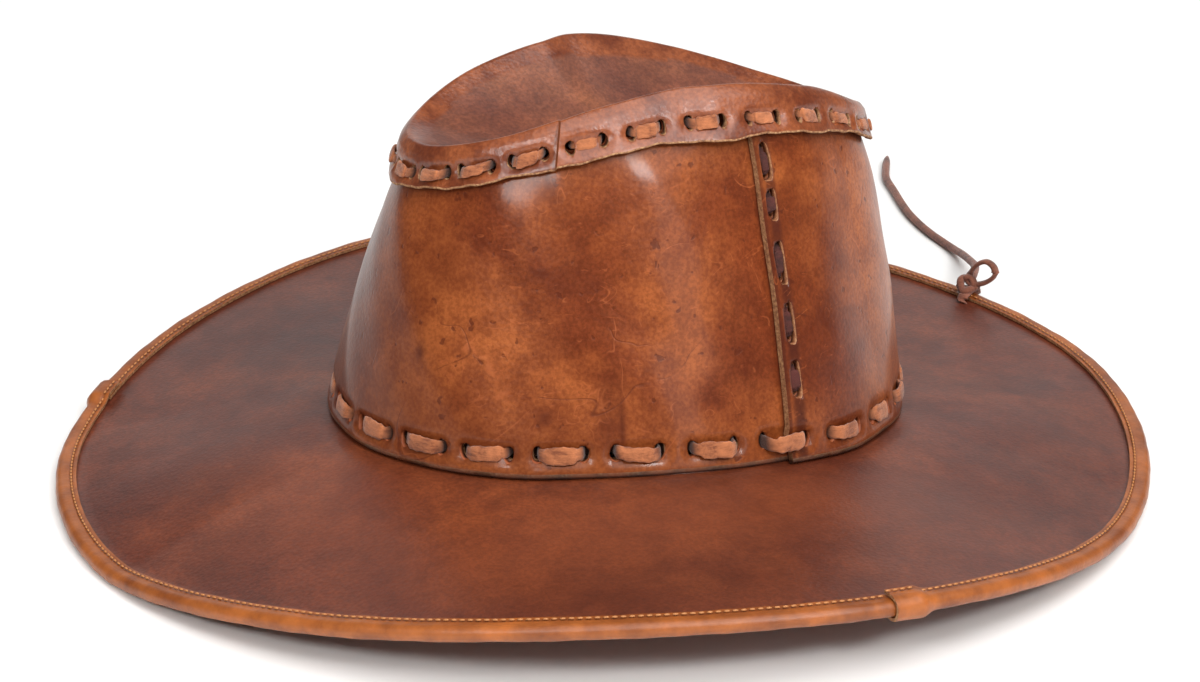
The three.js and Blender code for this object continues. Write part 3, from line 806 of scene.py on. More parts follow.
class Finish:
    """A procedural material under construction."""

    def __init__(self, name):
        self.material = bpy.data.materials.new(name)
        self.material.use_nodes = True
        self.tree = self.material.node_tree
        self.tree.nodes.clear()

    def add(self, kind, settings=None, sockets=None, output=0):
        """A node of that type, with its settings first, then values or links of its sockets."""
        node = self.tree.nodes.new("ShaderNode" + kind)
        for name, value in (settings or {}).items():
            if name == "stops":
                self.set_stops(node.color_ramp, value)
            else:
                setattr(node, name, value)
        for name, value in (sockets or {}).items():
            self.fill(node.inputs[name], value)
        return Socket(self, node.outputs[output]) if len(node.outputs) else None

    def set_stops(self, ramp, stops):
        while len(ramp.elements) < len(stops):
            ramp.elements.new(1.0)
        for element, (position, shade) in zip(ramp.elements, stops):
            element.position = position
            element.color = (*shade, 1.0)

    def fill(self, socket, value):
        if isinstance(value, Socket):
            self.tree.links.new(value.socket, socket)
        elif socket.type == "RGBA":
            socket.default_value = (*tuple(value)[:3], 1.0)
        else:
            socket.default_value = value

    def place(self, stretch=(1.0, 1.0, 1.0)):
        """Where a point lies on the hat, stretched along the axes."""
        spot = self.add("TexCoord", output="Object")
        if stretch == (1.0, 1.0, 1.0):
            return spot
        return self.add("Mapping", {}, {"Vector": spot, "Scale": stretch})

    def noise(self, scale, detail=4.0, roughness=0.55, distortion=0.0, stretch=(1.0, 1.0, 1.0)):
        sockets = {
            "Vector": self.place(stretch),
            "Scale": scale,
            "Detail": detail,
            "Roughness": roughness,
            "Distortion": distortion,
        }
        return self.add("TexNoise", {}, sockets)

    def painted(self, name):
        """A number painted on the vertices."""
        return self.add("Attribute", {"attribute_name": name}, output="Fac")

    def blend(self, factor, first, second, mode="MIX"):
        """Second laid over first by factor; both are colours."""
        settings = {"data_type": "RGBA", "blend_type": mode}
        sockets = {MIX_SOCKETS["factor"]: factor, MIX_SOCKETS["first"]: first, MIX_SOCKETS["second"]: second}
        return self.add("Mix", settings, sockets, output=MIX_SOCKETS["result"])

    def mottled(self, shade, scale, low, high, detail=4.0, distortion=0.0):
        """Shade, a colour or a socket, multiplied by a noise between two tints."""
        stops = {"stops": ((0.41, low), (0.59, high))}
        tint = self.add("ValToRGB", stops, {"Fac": self.noise(scale, detail, 0.6, distortion)})
        return self.blend(1.0, shade, tint, "MULTIPLY")

    def layered(self, shade, layers):
        """Shade mottled by each row of a table of layers."""
        for layer in layers:
            shade = self.mottled(shade, **layer)
        return shade

    def ramp(self, value, base, stops):
        """The base colour, tinted along the stops by a value."""
        tints = tuple((position, tinted(base, tint)) for position, tint in stops)
        return self.add("ValToRGB", {"stops": tints}, {"Fac": value})

    def pebbles(self, scale):
        """Small rounded cells, like the leather's grain."""
        return self.add("TexVoronoi", {}, {"Vector": self.place(), "Scale": scale, "Randomness": 1.0})

    def lines(self, scale, width, stretch):
        """Thin wandering lines in scattered places: 1 on a line."""
        wander = self.noise(scale, detail=2.0, distortion=1.2, stretch=stretch)
        off_line = self.absolute(wander - 0.5)
        return (1.0 - off_line.above(0.0, width)) * self.noise(scale * 1.7, detail=3.0).above(0.54, 0.62)

    def absolute(self, value):
        return self.add("Math", {"operation": "ABSOLUTE"}, {0: value})

    def bump(self, height, distance, strength=1.0, normal=None):
        sockets = {"Height": height, "Distance": distance, "Strength": strength}
        if normal is not None:
            sockets["Normal"] = normal
        return self.add("Bump", {}, sockets)

    def finish(self, **sockets):
        """Ends the material with one shader; names use _ for spaces."""
        named = {name.replace("_", " "): value for name, value in sockets.items()}
        shader = self.add("BsdfPrincipled", {}, named)
        self.add("OutputMaterial", {}, {"Surface": shader})
        return self.material


# Mottling of the leathers: the noise's scale and detail, and the tints it varies the colour between
CROWN_MOTTLING = (
    {"scale": 17.0, "low": (0.62, 0.52, 0.5), "high": (1.12, 1.22, 1.15), "detail": 8.0, "distortion": 0.5},
    {"scale": 7.0, "low": (0.8, 0.74, 0.72), "high": (1.08, 1.12, 1.1)},
    {"scale": 110.0, "low": (0.84, 0.8, 0.78), "high": (1.1, 1.14, 1.14), "detail": 8.0},
    {"scale": 800.0, "low": (0.84, 0.8, 0.78), "high": (1.12, 1.16, 1.18), "detail": 3.0},
)
SATIN_CLOUDS = (
    {"scale": 14.0, "low": (0.72, 0.6, 0.6), "high": (1.2, 1.22, 1.1), "detail": 8.0, "distortion": 0.5},
    {"scale": 5.0, "low": (0.84, 0.8, 0.84), "high": (1.14, 1.14, 1.1)},
)
SATIN_MOTTLING = (
    {"scale": 42.0, "low": (0.84, 0.8, 0.84), "high": (1.14, 1.16, 1.14), "detail": 8.0, "distortion": 0.4},
    {"scale": 120.0, "low": (0.88, 0.86, 0.86), "high": (1.12, 1.12, 1.12), "detail": 8.0},
    {"scale": 800.0, "low": (0.82, 0.8, 0.78), "high": (1.18, 1.2, 1.22), "detail": 3.0},
)
RIM_MOTTLING = (
    {"scale": 60.0, "low": (0.66, 0.54, 0.5), "high": (1.25, 1.3, 1.3), "detail": 8.0},
    {"scale": 700.0, "low": (0.84, 0.8, 0.78), "high": (1.14, 1.18, 1.2), "detail": 3.0},
)
BINDING_MOTTLING = (
    {"scale": 90.0, "low": (0.8, 0.76, 0.72), "high": (1.14, 1.16, 1.18), "detail": 8.0},
)


def tinted(base, tint):
    """A colour with each channel scaled by its own factor."""
    return tuple(channel * part for channel, part in zip(base, tint))


def waxed_leather(name, base):
    """Glossy, mottled leather of the crown, with darkened holes, pale torn rims and scratches."""
    f = Finish(name)
    shade = f.layered(base, CROWN_MOTTLING)
    blots = f.noise(44.0, detail=7.0, roughness=0.72).above(0.62, 0.72)
    pits = f.noise(230.0, detail=2.0).above(0.66, 0.72)
    pale_scratches = f.lines(34.0, 0.013, (1.0, 1.0, 0.8))
    hairlines = f.lines(90.0, 0.02, (0.7, 0.7, 1.4))
    dark_scratches = f.lines(17.0, 0.007, (1.3, 0.7, 1.0))
    # painted shade at the foot, under the rim and by the seam, mixed with dark burnish and stains
    burnt = f.painted("burnt")
    for amount, tint in (
        (blots * 0.6, (0.4, 0.26, 0.28)),
        (pits * 0.7, (0.3, 0.2, 0.2)),
        (f.painted("worn") * 0.8, (1.5, 1.6, 2.0)),
        (burnt * 0.9, (0.2, 0.12, 0.16)),
        (pale_scratches * 0.4, (1.9, 2.3, 2.8)),
        (hairlines * 0.3, (1.8, 2.1, 2.4)),
        (dark_scratches * 0.6, (0.3, 0.2, 0.22)),
        # painted shade on the side turned from the light, and stains
        (f.painted("marks"), (0.3, 0.2, 0.24)),
    ):
        shade = f.blend(amount, shade, tinted(base, tint))
    creases = f.noise(130.0, detail=7.0, roughness=0.7, distortion=0.8)
    height = f.pebbles(620.0) * 0.35 + creases * 0.65 - pits * 0.4 - dark_scratches * 0.4
    return f.finish(
        Base_Color=shade,
        Roughness=0.3 + f.noise(60.0, detail=6.0) * 0.14 + burnt * 0.2,
        Specular_IOR_Level=0.2,
        Specular_Tint=(1.0, 0.75, 0.6),
        Coat_Weight=0.24,
        Coat_Roughness=0.14,
        Normal=f.bump(height, 0.0003, 0.6),
    )


def satin_leather(name, base):
    """Softer leather of the brim and top: purplish where it is far from the crown's foot, a tone that also
    stands in for painted sheen, and darker with painted shade next to the foot.
    """
    f = Finish(name)
    shade = f.layered(base, SATIN_CLOUDS)
    # purplish tone with painted sheen on the outer brim and the top panel
    shade = f.blend(f.painted("far") * 0.6, shade, tinted(base, (0.82, 0.76, 1.0)))
    shade = f.layered(shade, SATIN_MOTTLING)
    blots = f.noise(30.0, detail=8.0, roughness=0.72).above(0.6, 0.74)
    burnt, polish = f.painted("burnt"), f.painted("polish")
    for amount, tint in (
        (blots * 0.45, (0.5, 0.38, 0.42)),
        (f.lines(30.0, 0.01, (0.6, 1.4, 1.0)) * 0.3, (1.5, 1.6, 1.9)),
        # rubbed places, with a painted highlight along the top's ridge
        (f.painted("worn") * 0.7, (1.3, 1.3, 1.3)),
        # painted shade on the brim by the crown's foot; on the top, dark burnish at the holes and the dart
        (burnt * 0.85, (0.25, 0.18, 0.2)),
    ):
        shade = f.blend(amount, shade, tinted(base, tint))
    rim = f.layered(tinted(base, (1.1, 0.9, 0.66)), RIM_MOTTLING)
    shade = f.blend(polish * (1.0 - burnt * 0.8), shade, rim)
    shade = f.blend(f.painted("stain"), shade, tinted(base, (0.5, 0.4, 0.36)))
    creases = f.noise(140.0, detail=7.0, roughness=0.7, distortion=1.0)
    return f.finish(
        Base_Color=shade,
        Roughness=0.38 + f.noise(50.0, detail=6.0) * 0.14 - polish * 0.16,
        Coat_Weight=0.1,
        Coat_Roughness=0.3,
        Normal=f.bump(f.pebbles(700.0) * 0.4 + creases * 0.6, 0.0003, 0.6),
    )


def binding_leather(name, base):
    """Thin, slightly glossy strip with rubbed, darker places and painted shade in the groove of its stitches.
    """
    f = Finish(name)
    clouds = f.noise(34.0, detail=6.0, roughness=0.65)
    fine = f.noise(210.0, detail=4.0)
    stops = ((0.33, (0.6, 0.5, 0.45)), (0.52, (1.0, 1.0, 1.0)), (0.68, (1.3, 1.25, 1.15)))
    shade = f.ramp(clouds * 0.65 + fine * 0.35, base, stops)
    shade = f.layered(shade, BINDING_MOTTLING)
    # painted shade in the stitches' groove
    shade = f.blend(f.painted("sewn") * 0.6, shade, tinted(base, (0.4, 0.32, 0.28)))
    height = fine * 0.5 + f.noise(700.0, detail=3.0) * 0.5
    return f.finish(Base_Color=shade, Roughness=0.42, Normal=f.bump(height, 0.00035, 0.7))


def flesh_side(name, base):
    """Rough inner side of the leather."""
    f = Finish(name)
    fibres = f.noise(420.0, detail=6.0, roughness=0.75)
    clouds = f.noise(24.0, detail=5.0)
    shade = f.ramp(fibres * 0.5 + clouds * 0.5, base, ((0.3, (0.85, 0.8, 0.78)), (0.7, (1.3, 1.3, 1.3))))
    return f.finish(Base_Color=shade, Roughness=0.9, Normal=f.bump(fibres, 0.0003, 0.6))


def cut_edge(name, base):
    """Pale raw edge of the leather, burnished dark where it is painted low."""
    f = Finish(name)
    fibres = f.noise(900.0, detail=6.0, roughness=0.7)
    stops = ((0.38, colour(112, 72, 46)), (0.5, colour(150, 104, 68)), (0.62, colour(182, 138, 96)))
    shade = f.add("ValToRGB", {"stops": stops}, {"Fac": fibres})
    shade = f.blend(f.painted("low"), shade, colour(44, 28, 22))
    shade = f.blend(f.painted("slot") * 0.85, shade, tinted(base, (1.25, 1.05, 0.85)))
    roughness = 0.7 - f.painted("low") * 0.45
    return f.finish(Base_Color=shade, Roughness=roughness, Normal=f.bump(fibres, 0.0003, 0.7))


def suede(name, base, patchy=0.5, sheen=0.25):
    """Napped suede of the laces and the thong, with painted shade where it goes down into a hole."""
    f = Finish(name)
    nap = f.noise(420.0, detail=7.0, roughness=0.8, stretch=(0.45, 0.45, 2.2))
    lumps = f.noise(160.0, detail=5.0, roughness=0.65, distortion=0.6)
    stops = ((0.4, (0.46, 0.36, 0.3)), (0.5, (1.0, 1.0, 1.0)), (0.6, (1.35, 1.4, 1.45)))
    shade = f.ramp(nap * (1 - patchy) + lumps * patchy, base, stops)
    # painted shade where the lace goes down into a hole
    shade = f.blend(f.painted("deep"), shade, tinted(base, (0.12, 0.1, 0.1)))
    return f.finish(
        Base_Color=shade,
        Roughness=0.88,
        Sheen_Weight=sheen,
        Sheen_Roughness=0.5,
        Normal=f.bump(nap * 0.5 + lumps * 0.5, 0.0009, 0.9),
    )


def thread_finish(name, base):
    """Waxed sewing thread."""
    f = Finish(name)
    plies = f.noise(1500.0, detail=2.0)
    shade = f.blend(plies, tinted(base, (0.8, 0.75, 0.7)), tinted(base, (1.2, 1.2, 1.2)))
    return f.finish(Base_Color=shade, Roughness=0.6)


def matte(name, base):
    """Plain dull surface of one colour."""
    f = Finish(name)
    return f.finish(Base_Color=base, Roughness=0.95)


def kept(builder, name, *values):
    """A finish by name, made the first time it is asked for."""
    return bpy.data.materials.get(name) or builder(name, *values)


def leather_set(builder, name, base):
    """Grain side, flesh side and cut edge of one leather."""
    return [
        kept(builder, name, base),
        kept(flesh_side, name + "_inside", base),
        kept(cut_edge, name + "_edge", base),
    ]


# Pieces

def brim_piece(colours):
    """Brim with the collar that stands inside the crown wall."""
    azimuth = np.arange(TURN_STEPS) * FULL_TURN / TURN_STEPS
    foot = around(azimuth, "foot")
    collar = -(LEATHER + GAP)
    reach = brim_reach(azimuth)
    heights = [foot + COLLAR_HEIGHT * (1 - t) for t in np.linspace(0.0, COLLAR_STRAIGHT, COLLAR_ROWS)]
    runs = [reach * (1 - t) + BINDING_SPACE * t for t in np.linspace(BRIM_START, 1.0, BRIM_ROWS)]
    outer = [wall_point(azimuth, height, collar) for height in heights]
    seat = wall_point(azimuth, foot - GAP, collar)
    outer += fillet(outer[-1], seat, brim_point(azimuth, runs[0], 0.0), COLLAR_BEND["top"], 2)
    outer += [brim_point(azimuth, run, 0.0) for run in runs]
    inner = [wall_point(azimuth, height, collar - LEATHER) for height in heights]
    below = wall_point(azimuth, foot - GAP - LEATHER, collar - LEATHER)
    inner += fillet(inner[-1], below, brim_point(azimuth, runs[0], -LEATHER), COLLAR_BEND["under"], 2)
    inner += [brim_point(azimuth, run, -LEATHER) for run in runs]
    loops = section_loops(outer, inner)
    finishes = leather_set(satin_leather, "satin_brim", tuple(colours.brim))
    piece = swept("hat_brim", loops, True, loop_kinds(len(outer), len(inner)), finishes)
    spans = ring_spans(BASE_LACE, base_place)
    cut_holes(piece, lace_holes(spans, base_place, lambda _: collar, collar - LEATHER, BRIM_HOLE))
    where = vertices_of(piece)
    radius = np.hypot(where[:, 0] / BRIM_HALF["x"], where[:, 1] / BRIM_HALF["y"])
    foot_gap = np.hypot(*(where[:, :2] - foot_under(where)).T)
    # purplish tone with painted sheen on the outer brim
    paint(piece, "far", (radius - FAR_BRIM["from"]) / FAR_BRIM["over"])
    paint(piece, "worn", marks_at(where, BRIM_RUBS))
    paint(piece, "stain", marks_at(where, BRIM_STAINS))
    # painted shade on the brim next to the crown's foot
    paint(piece, "burnt", 0.7 * fading(foot_gap, 0.003))
    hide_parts("brim")
    return piece


def seam_cuts(hand, slots):
    """Slots that the seam lace lies in, in the outer panel, or round holes in the panel under it."""
    place = seam_place(hand)
    if not slots:
        return lace_holes(seam_spans(hand), place, lambda _: 0.0, -LEATHER, UNDERLAP_HOLE)
    cuts = []
    for start, end, step in seam_spans(hand):
        size = {**SEAM_SLOT, "along": (end - start) / 2 + SEAM_SLOT["past"]}
        cuts.append(hole_at((start + end) / 2, step, place, (LAP_LIFT, LAP_LIFT - LEATHER), size))
    return cuts


def wall_piece(name, node, span, lift, colours):
    """One panel of the crown wall, with its laced holes; lift gives how far it stands off."""
    start, end = span
    count = int(round((end - start) / FULL_TURN * TURN_STEPS)) + 1
    azimuth = np.linspace(start, end, count)
    foot, hem, rise = (around(azimuth, column) for column in ("foot", "hem", "rise"))
    stand = lift(azimuth)
    top = hem + rise - WALL_TOP_DROP - UNDERLAP_DROP * (seam_lift(azimuth) - stand)

    def face(off, height):
        plain = wall_point(azimuth, height, 0.0)
        inward = PRESS["depth"] * trench(plain, BASE_HOLES, PRESS["foot_reach"])
        inward += SHOULDER["depth"] * np.clip((height - hem) / SHOULDER["height"] + 1, 0.0, 1.2) ** 2
        return wall_point(azimuth, height, stand + off + waves(CROWN_DENTS, azimuth, height) - inward)

    heights = [foot + (hem - foot) * t for t in np.linspace(WALL_START, 1.0, WALL_ROWS)]
    outer = fillet(face(-LEATHER, foot), face(0.0, foot), face(0.0, heights[0]), WALL_FOOT_ROUNDING, 3)
    outer += [face(0.0, height) for height in heights] + [face(0.0, top)]
    inner = [face(-LEATHER, foot + WALL_FOOT_STEP * k) for k in range(WALL_FOOT_ROWS)]
    inner += [face(-LEATHER, height) for height in heights] + [face(-LEATHER, top - WALL_TOP_BEVEL)]
    finishes = leather_set(waxed_leather, "waxed_crown", tuple(colours.crown))
    loops = section_loops(outer, inner)
    if loops.shape[1] % 2:
        raise RuntimeError("a wall section needs an even count of points")
    kinds = loop_kinds(len(outer), len(inner))
    kinds[:3] = [EDGE] * 3
    piece = swept(name, loops, False, kinds, finishes)
    holes = lace_holes(ring_spans(BASE_LACE, base_place), base_place, seam_lift, -LEATHER, FOOT_HOLE)
    holes += lace_holes(ring_spans(RIM_LACE, rim_place), rim_place, seam_lift, -LEATHER, WALL_RIM_HOLE)
    for hand in (1, -1):
        holes += seam_cuts(hand, node == "crown_back")
    cut_holes(piece, holes)
    paint_wall(piece)
    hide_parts(node)
    return piece


def foot_under(where):
    """The wall's foot at the azimuth of each point, seen from above."""
    turn = np.arctan2(where[:, 0] / FOOT_HALF["x"], -where[:, 1] / FOOT_HALF["y"])
    azimuth = np.mod(np.degrees(turn), FULL_TURN)
    return wall_point(azimuth, around(azimuth, "foot"), 0.0)[:, :2]


def marks_at(where, table):
    """Sum of the soft rubbed or stained spots of a table."""
    total = np.zeros(len(where))
    for row in table:
        gap = (where - np.array(row["at"])) / np.array(row["size"])
        total += row["depth"] * np.exp(-(gap**2).sum(-1))
    return total


def hat_azimuth(where):
    """Azimuth of points on the crown."""
    x, y, z = where[:, 0] + MIDDLE[0], where[:, 1] + MIDDLE[1], where[:, 2]
    across = x / wall_size(z, "half_width")
    along = -(y - wall_size(z, "back")) / wall_size(z, "half_length")
    return np.mod(np.degrees(np.arctan2(across, along)), FULL_TURN)


def paint_wall(piece):
    """Painted shade at the foot, under the rim's hem, along the seam's edges and on the side turned from the
    light; dark burnish at the holes, a dark stain strip between the seam's slots, and pale torn rims at the
    slots.
    """
    where = vertices_of(piece)
    azimuth = hat_azimuth(where)
    past_seam = FULL_TURN / 2 - np.abs(azimuth - FULL_TURN / 2) - SEAM_AZIMUTH
    above_foot = where[:, 2] - around(azimuth, "foot")
    below_hem = around(azimuth, "hem") - where[:, 2]
    stitched = on_line(where, SEAM_HOLES, 0.0017)
    seam_edge_shade = bell(past_seam + 0.1, 0.35) + bell(past_seam - 0.5, 0.25)
    strip = bell(past_seam - SLOT_STRIP["past"], SLOT_STRIP["half"], 4)
    # painted shade where the wall meets the brim, under the rim's hem and along the seam's edges; dark
    # burnish round the holes and a stain strip between the slots
    burnt = np.max([
        fading(above_foot, 0.0012),
        0.75 * fading(below_hem, 0.0016),
        0.8 * nearness(where, BASE_HOLES, 0.0022),
        0.8 * seam_edge_shade,
        0.92 * strip * (1 - stitched),
    ], axis=0)
    marks = np.zeros(len(where))
    # the first row paints shade on the side of the crown turned from the light
    for row in CROWN_MARKS_AND_SHADE:
        turned = np.mod(azimuth - row["azimuth"] + FULL_TURN / 2, FULL_TURN) - FULL_TURN / 2
        across = turned * METRES_PER_DEGREE / row["width"]
        upward = (where[:, 2] - row["height"]) / row["tall"]
        marks += row["depth"] * np.exp(-(across**2) - upward**2)
    near_holes = nearness(where, np.concatenate([BASE_HOLES, RIM_HOLES]), 0.0035)
    paint(piece, "low", 1.6 - above_foot / 0.0022)
    paint(piece, "slot", 1.4 * np.maximum(near_holes, stitched))
    paint(piece, "burnt", burnt)
    paint(piece, "worn", 0.55 * np.clip(1.3 * stitched - 0.25, 0.0, 1.0))
    paint(piece, "marks", marks)


def top_piece(colours):
    """Top panel with its rim folded down over the wall, the ridge and the dent."""
    azimuth = np.arange(TURN_STEPS) * FULL_TURN / TURN_STEPS
    hem = around(azimuth, "hem") + waves(HEM_WAVES, azimuth)
    past_dart = np.mod(azimuth - RIM_DART["azimuth"], FULL_TURN)
    before_dart = np.mod(RIM_DART["azimuth"] - azimuth, FULL_TURN)
    lowered = RIM_DART["lower"] * np.exp(-before_dart / RIM_DART["lower_over"])
    hem = hem - lowered * (past_dart > RIM_DART["step"])
    ridge_height = around(azimuth, "hem") + around(azimuth, "rise")
    near = seam_lift(azimuth) + GAP + RIM_DART["lift"] * np.exp(-past_dart / RIM_DART["lift_over"])

    def face(off, height):
        plain = wall_point(azimuth, height, 0.0)
        inward = PRESS["depth"] * trench(plain, RIM_HOLES, PRESS["rim_reach"])
        return wall_point(azimuth, height, near + off + waves(CROWN_DENTS, azimuth, height) - inward)

    ridge = wall_point(azimuth, ridge_height, near + LEATHER - RIM_LEAN)
    along = -np.cos(np.radians(azimuth))
    valley = points(
        0.0,
        VALLEY_MIDDLE_Y + VALLEY_HALF_LENGTH * along,
        VALLEY_FRONT + (VALLEY_BACK - VALLEY_FRONT) * (along + 1) / 2,
    )

    def dent(share, below):
        point = ridge + (valley - ridge) * share
        fall = (1 - share) ** VALLEY_POWER
        sag = waves(BRIM_WAVES, azimuth) * 4 * share * (1 - share) ** 2
        point[..., 2] = valley[..., 2] + (ridge[..., 2] - valley[..., 2]) * fall + sag - below
        return point

    shares = np.linspace(DENT_START, 1.0, DENT_ROWS)
    flange = [hem + (ridge_height - hem) * t for t in np.linspace(*FLANGE_SPAN, FLANGE_ROWS)]
    outer = fillet(face(0.0, hem), face(LEATHER, hem), face(LEATHER, flange[0]), HEM_ROUNDING, 3)
    outer += [face(LEATHER, height) for height in flange[1:]]
    outer += fillet(outer[-1], ridge, dent(shares[0], 0.0), RIM_ROUNDING, 6)
    outer += [dent(share, 0.0) for share in shares]
    inner = [face(0.0, hem + HEM_STEP * k) for k in range(1, 5)]
    inner += [face(0.0, height) for height in flange[1:]]
    corner = wall_point(azimuth, ridge_height - TOP_THICKNESS, near)
    inner += fillet(inner[-1], corner, dent(shares[0], TOP_THICKNESS), UNDER_RIM_ROUNDING, 6)
    inner += [dent(share, TOP_THICKNESS) for share in shares]
    loops = section_loops(outer, inner)
    finishes = leather_set(satin_leather, "satin_top", tuple(colours.top))
    piece = joined_top(loops, len(outer), finishes)
    spans = ring_spans(RIM_LACE, rim_place)
    cut_holes(piece, lace_holes(spans, rim_place, lambda a: seam_lift(a) + GAP + LEATHER, 0.0, TOP_RIM_HOLE))
    paint_top(piece)
    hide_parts("crown_top")
    return piece


def paint_top(piece):
    """Polish on the folded rim, a pale rubbed hem and a painted highlight along its ridge, and dark at its
    holes and dart.
    """
    where = vertices_of(piece)
    turn = hat_azimuth(where)
    below_ridge = around(turn, "hem") + around(turn, "rise") - where[:, 2]
    above_hem = where[:, 2] - around(turn, "hem")
    radial = np.hypot(*(where[:, :2] - wall_point(turn, where[:, 2], 0.0)[:, :2]).T)
    on_rim = (radial < 0.0075) & (below_ridge > -0.001)
    dart = 0.9 * bell(turn - RIM_DART["azimuth"], 0.5)
    burnt = np.maximum(0.75 * nearness(where, RIM_HOLES, 0.002), dart) * on_rim
    # pale rubbed hem, and a painted highlight along the ridge
    worn = 0.8 * np.maximum(on_rim * fading(above_hem, 0.0011), bell(below_ridge, 0.0013) * (radial < 0.006))
    # purplish tone with painted sheen on the top panel, none on the rim
    paint(piece, "far", np.where(on_rim, 0.0, 0.35))
    paint(piece, "polish", on_rim)
    paint(piece, "burnt", burnt)
    paint(piece, "worn", worn)


def joined_top(loops, outer_count, finishes):
    """Top panel whose two halves meet at the valley line, where matching points are made one."""
    sections, count = loops.shape[:2]
    kinds = loop_kinds(outer_count, count - outer_count)
    kinds[:3] = [EDGE] * 3
    faces, face_kinds = loop_faces(sections, count, True, kinds)
    ends = (outer_count - 1, outer_count)
    merged = {}
    for s in range(sections):
        twin = (sections - s) % sections
        for end in ends:
            merged[s * count + end] = min(s, twin) * count + end
    kept_faces, kept_kinds = [], []
    for face, kind in zip(faces, face_kinds):
        corners = [merged.get(corner, corner) for corner in face]
        if all(corner % count in ends for corner in corners):
            continue
        slim = [corner for i, corner in enumerate(corners) if corner != corners[i - 1]]
        if len(slim) > 2:
            kept_faces.append(tuple(slim))
            kept_kinds.append(kind)
    used = sorted({corner for face in kept_faces for corner in face})
    renumbered = {old: new for new, old in enumerate(used)}
    vertices = loops.reshape(-1, 3)[used]
    final = [tuple(renumbered[corner] for corner in face) for face in kept_faces]
    if signed_volume(vertices, final) < 0:
        final = [face[::-1] for face in final]
    return new_piece("hat_top", vertices, final, kept_kinds, finishes)


def binding_piece(name, node, start, end, colours):
    """A strip folded over the brim's edge; its first end laps over the other strip."""
    count = int(round((end - start) / FULL_TURN * TURN_STEPS)) + 1
    azimuth = np.linspace(start, end, count)
    past = azimuth - start
    share = np.clip((BINDING_LAP_ANGLE + BINDING_LAP_BLEND - past) / BINDING_LAP_BLEND, 0.0, 1.0)
    lift = BINDING_SPACE * share
    uneven = waves(BINDING_WAVES, azimuth) - BINDING_SHRINK
    middle_above = -LEATHER / 2
    half_near = LEATHER / 2 + GAP
    flat_from_edge = BINDING_WIDTH - np.linspace(0.0, BINDING_FLAT, BINDING_FLAT_ROWS)
    sewn = bell(flat_from_edge - STITCH_FROM_EDGE, 0.0006)

    def line(extra, sunk):
        half = half_near + lift + extra
        flat = list(zip(flat_from_edge, sewn * sunk))
        rows = [brim_point(azimuth, gap, middle_above + half - sink) for gap, sink in flat]
        centre = BINDING_SPACE + half_near
        for turn in np.linspace(0.0, math.pi, FOLD_ROWS):
            inward = centre - half * math.sin(turn)
            rows.append(brim_point(azimuth, inward, middle_above + half * math.cos(turn)))
        rows += [brim_point(azimuth, gap, middle_above - half + sink) for gap, sink in reversed(flat)]
        return rows

    outer = line(BINDING_LEATHER + uneven, STITCH_SINK)
    inner = line(0.0, 0.0)
    finishes = leather_set(binding_leather, "folded_strip", tuple(colours.binding))
    piece = swept(name, section_loops(outer, inner), False, loop_kinds(len(outer), len(inner)), finishes)
    around_fold = np.concatenate([sewn, np.zeros(FOLD_ROWS), sewn[::-1]])
    # painted shade along the groove on the strip's outer face
    paint(piece, "sewn", np.tile(np.concatenate([around_fold, 0 * around_fold]), count))
    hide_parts(node)
    return piece


def stitch_shape(half, thread):
    """One stitch, pointed at both ends: its points as lengths along, aside and up, and its faces."""
    shape, faces = [(-half, 0.0, 0.0)], []
    for r in range(1, STITCH_RINGS):
        turn = math.pi * r / STITCH_RINGS
        spread = math.sin(turn) * thread / 2
        for k in range(STITCH_SIDES):
            spin = 2 * math.pi * k / STITCH_SIDES
            shape.append((-half * math.cos(turn), spread * math.cos(spin), spread * math.sin(spin)))
    last = len(shape)
    shape.append((half, 0.0, 0.0))
    for k in range(STITCH_SIDES):
        n = (k + 1) % STITCH_SIDES
        faces.append((0, 1 + n, 1 + k))
        for ring in range(1, last - STITCH_SIDES, STITCH_SIDES):
            beyond = ring + STITCH_SIDES
            faces.append((ring + k, ring + n, beyond + n, beyond + k))
        faces.append((last, last - STITCH_SIDES + k, last - STITCH_SIDES + n))
    return np.array(shape), faces


def stitch_row(name, face, sizes):
    """Thread stitches along the binding; face is 1 for the top of the brim and -1 for below."""
    off = LEATHER / 2 + GAP + BINDING_LEATHER + sizes.thread * STITCH_LIFT[face]
    middle_above = -LEATHER / 2
    fine = np.arange(0.0, FULL_TURN, STITCH_FINE)
    line = brim_point(fine, STITCH_FROM_EDGE, middle_above + face * off)
    along = np.concatenate([[0.0], np.cumsum(np.linalg.norm(np.roll(line, -1, axis=0) - line, axis=1))])
    count = int(along[-1] / sizes.stitch_pitch)
    azimuths = np.interp(np.arange(count) * along[-1] / count, along, np.append(fine, FULL_TURN))
    shape, shape_faces = stitch_shape(sizes.stitch_pitch * STITCH_HALF_SHARE, sizes.thread)
    up = np.array([0.0, 0.0, float(face)])
    vertices, faces = [], []
    for azimuth in azimuths:
        lapped = any((azimuth - joint) % FULL_TURN < BINDING_LAP_ANGLE for joint in (LEFT_JOINT, RIGHT_JOINT))
        above = middle_above + face * (off + BINDING_SPACE * lapped)
        here, ahead = (brim_point(azimuth + step, STITCH_FROM_EDGE, above) for step in (0.0, STITCH_AHEAD))
        run = unit(ahead - here)
        faces += [tuple(len(vertices) + corner for corner in corners) for corners in shape_faces]
        vertices += list(here + shape @ np.array([run, unit(np.cross(run, up)), up]))
    vertices = np.array(vertices)
    if signed_volume(vertices, faces) < 0:
        faces = [corners[::-1] for corners in faces]
    finish = kept(thread_finish, "thread", colour(182, 122, 72))
    piece = new_piece(name, vertices, faces, [0] * len(faces), [finish], crease=180.0)
    return piece


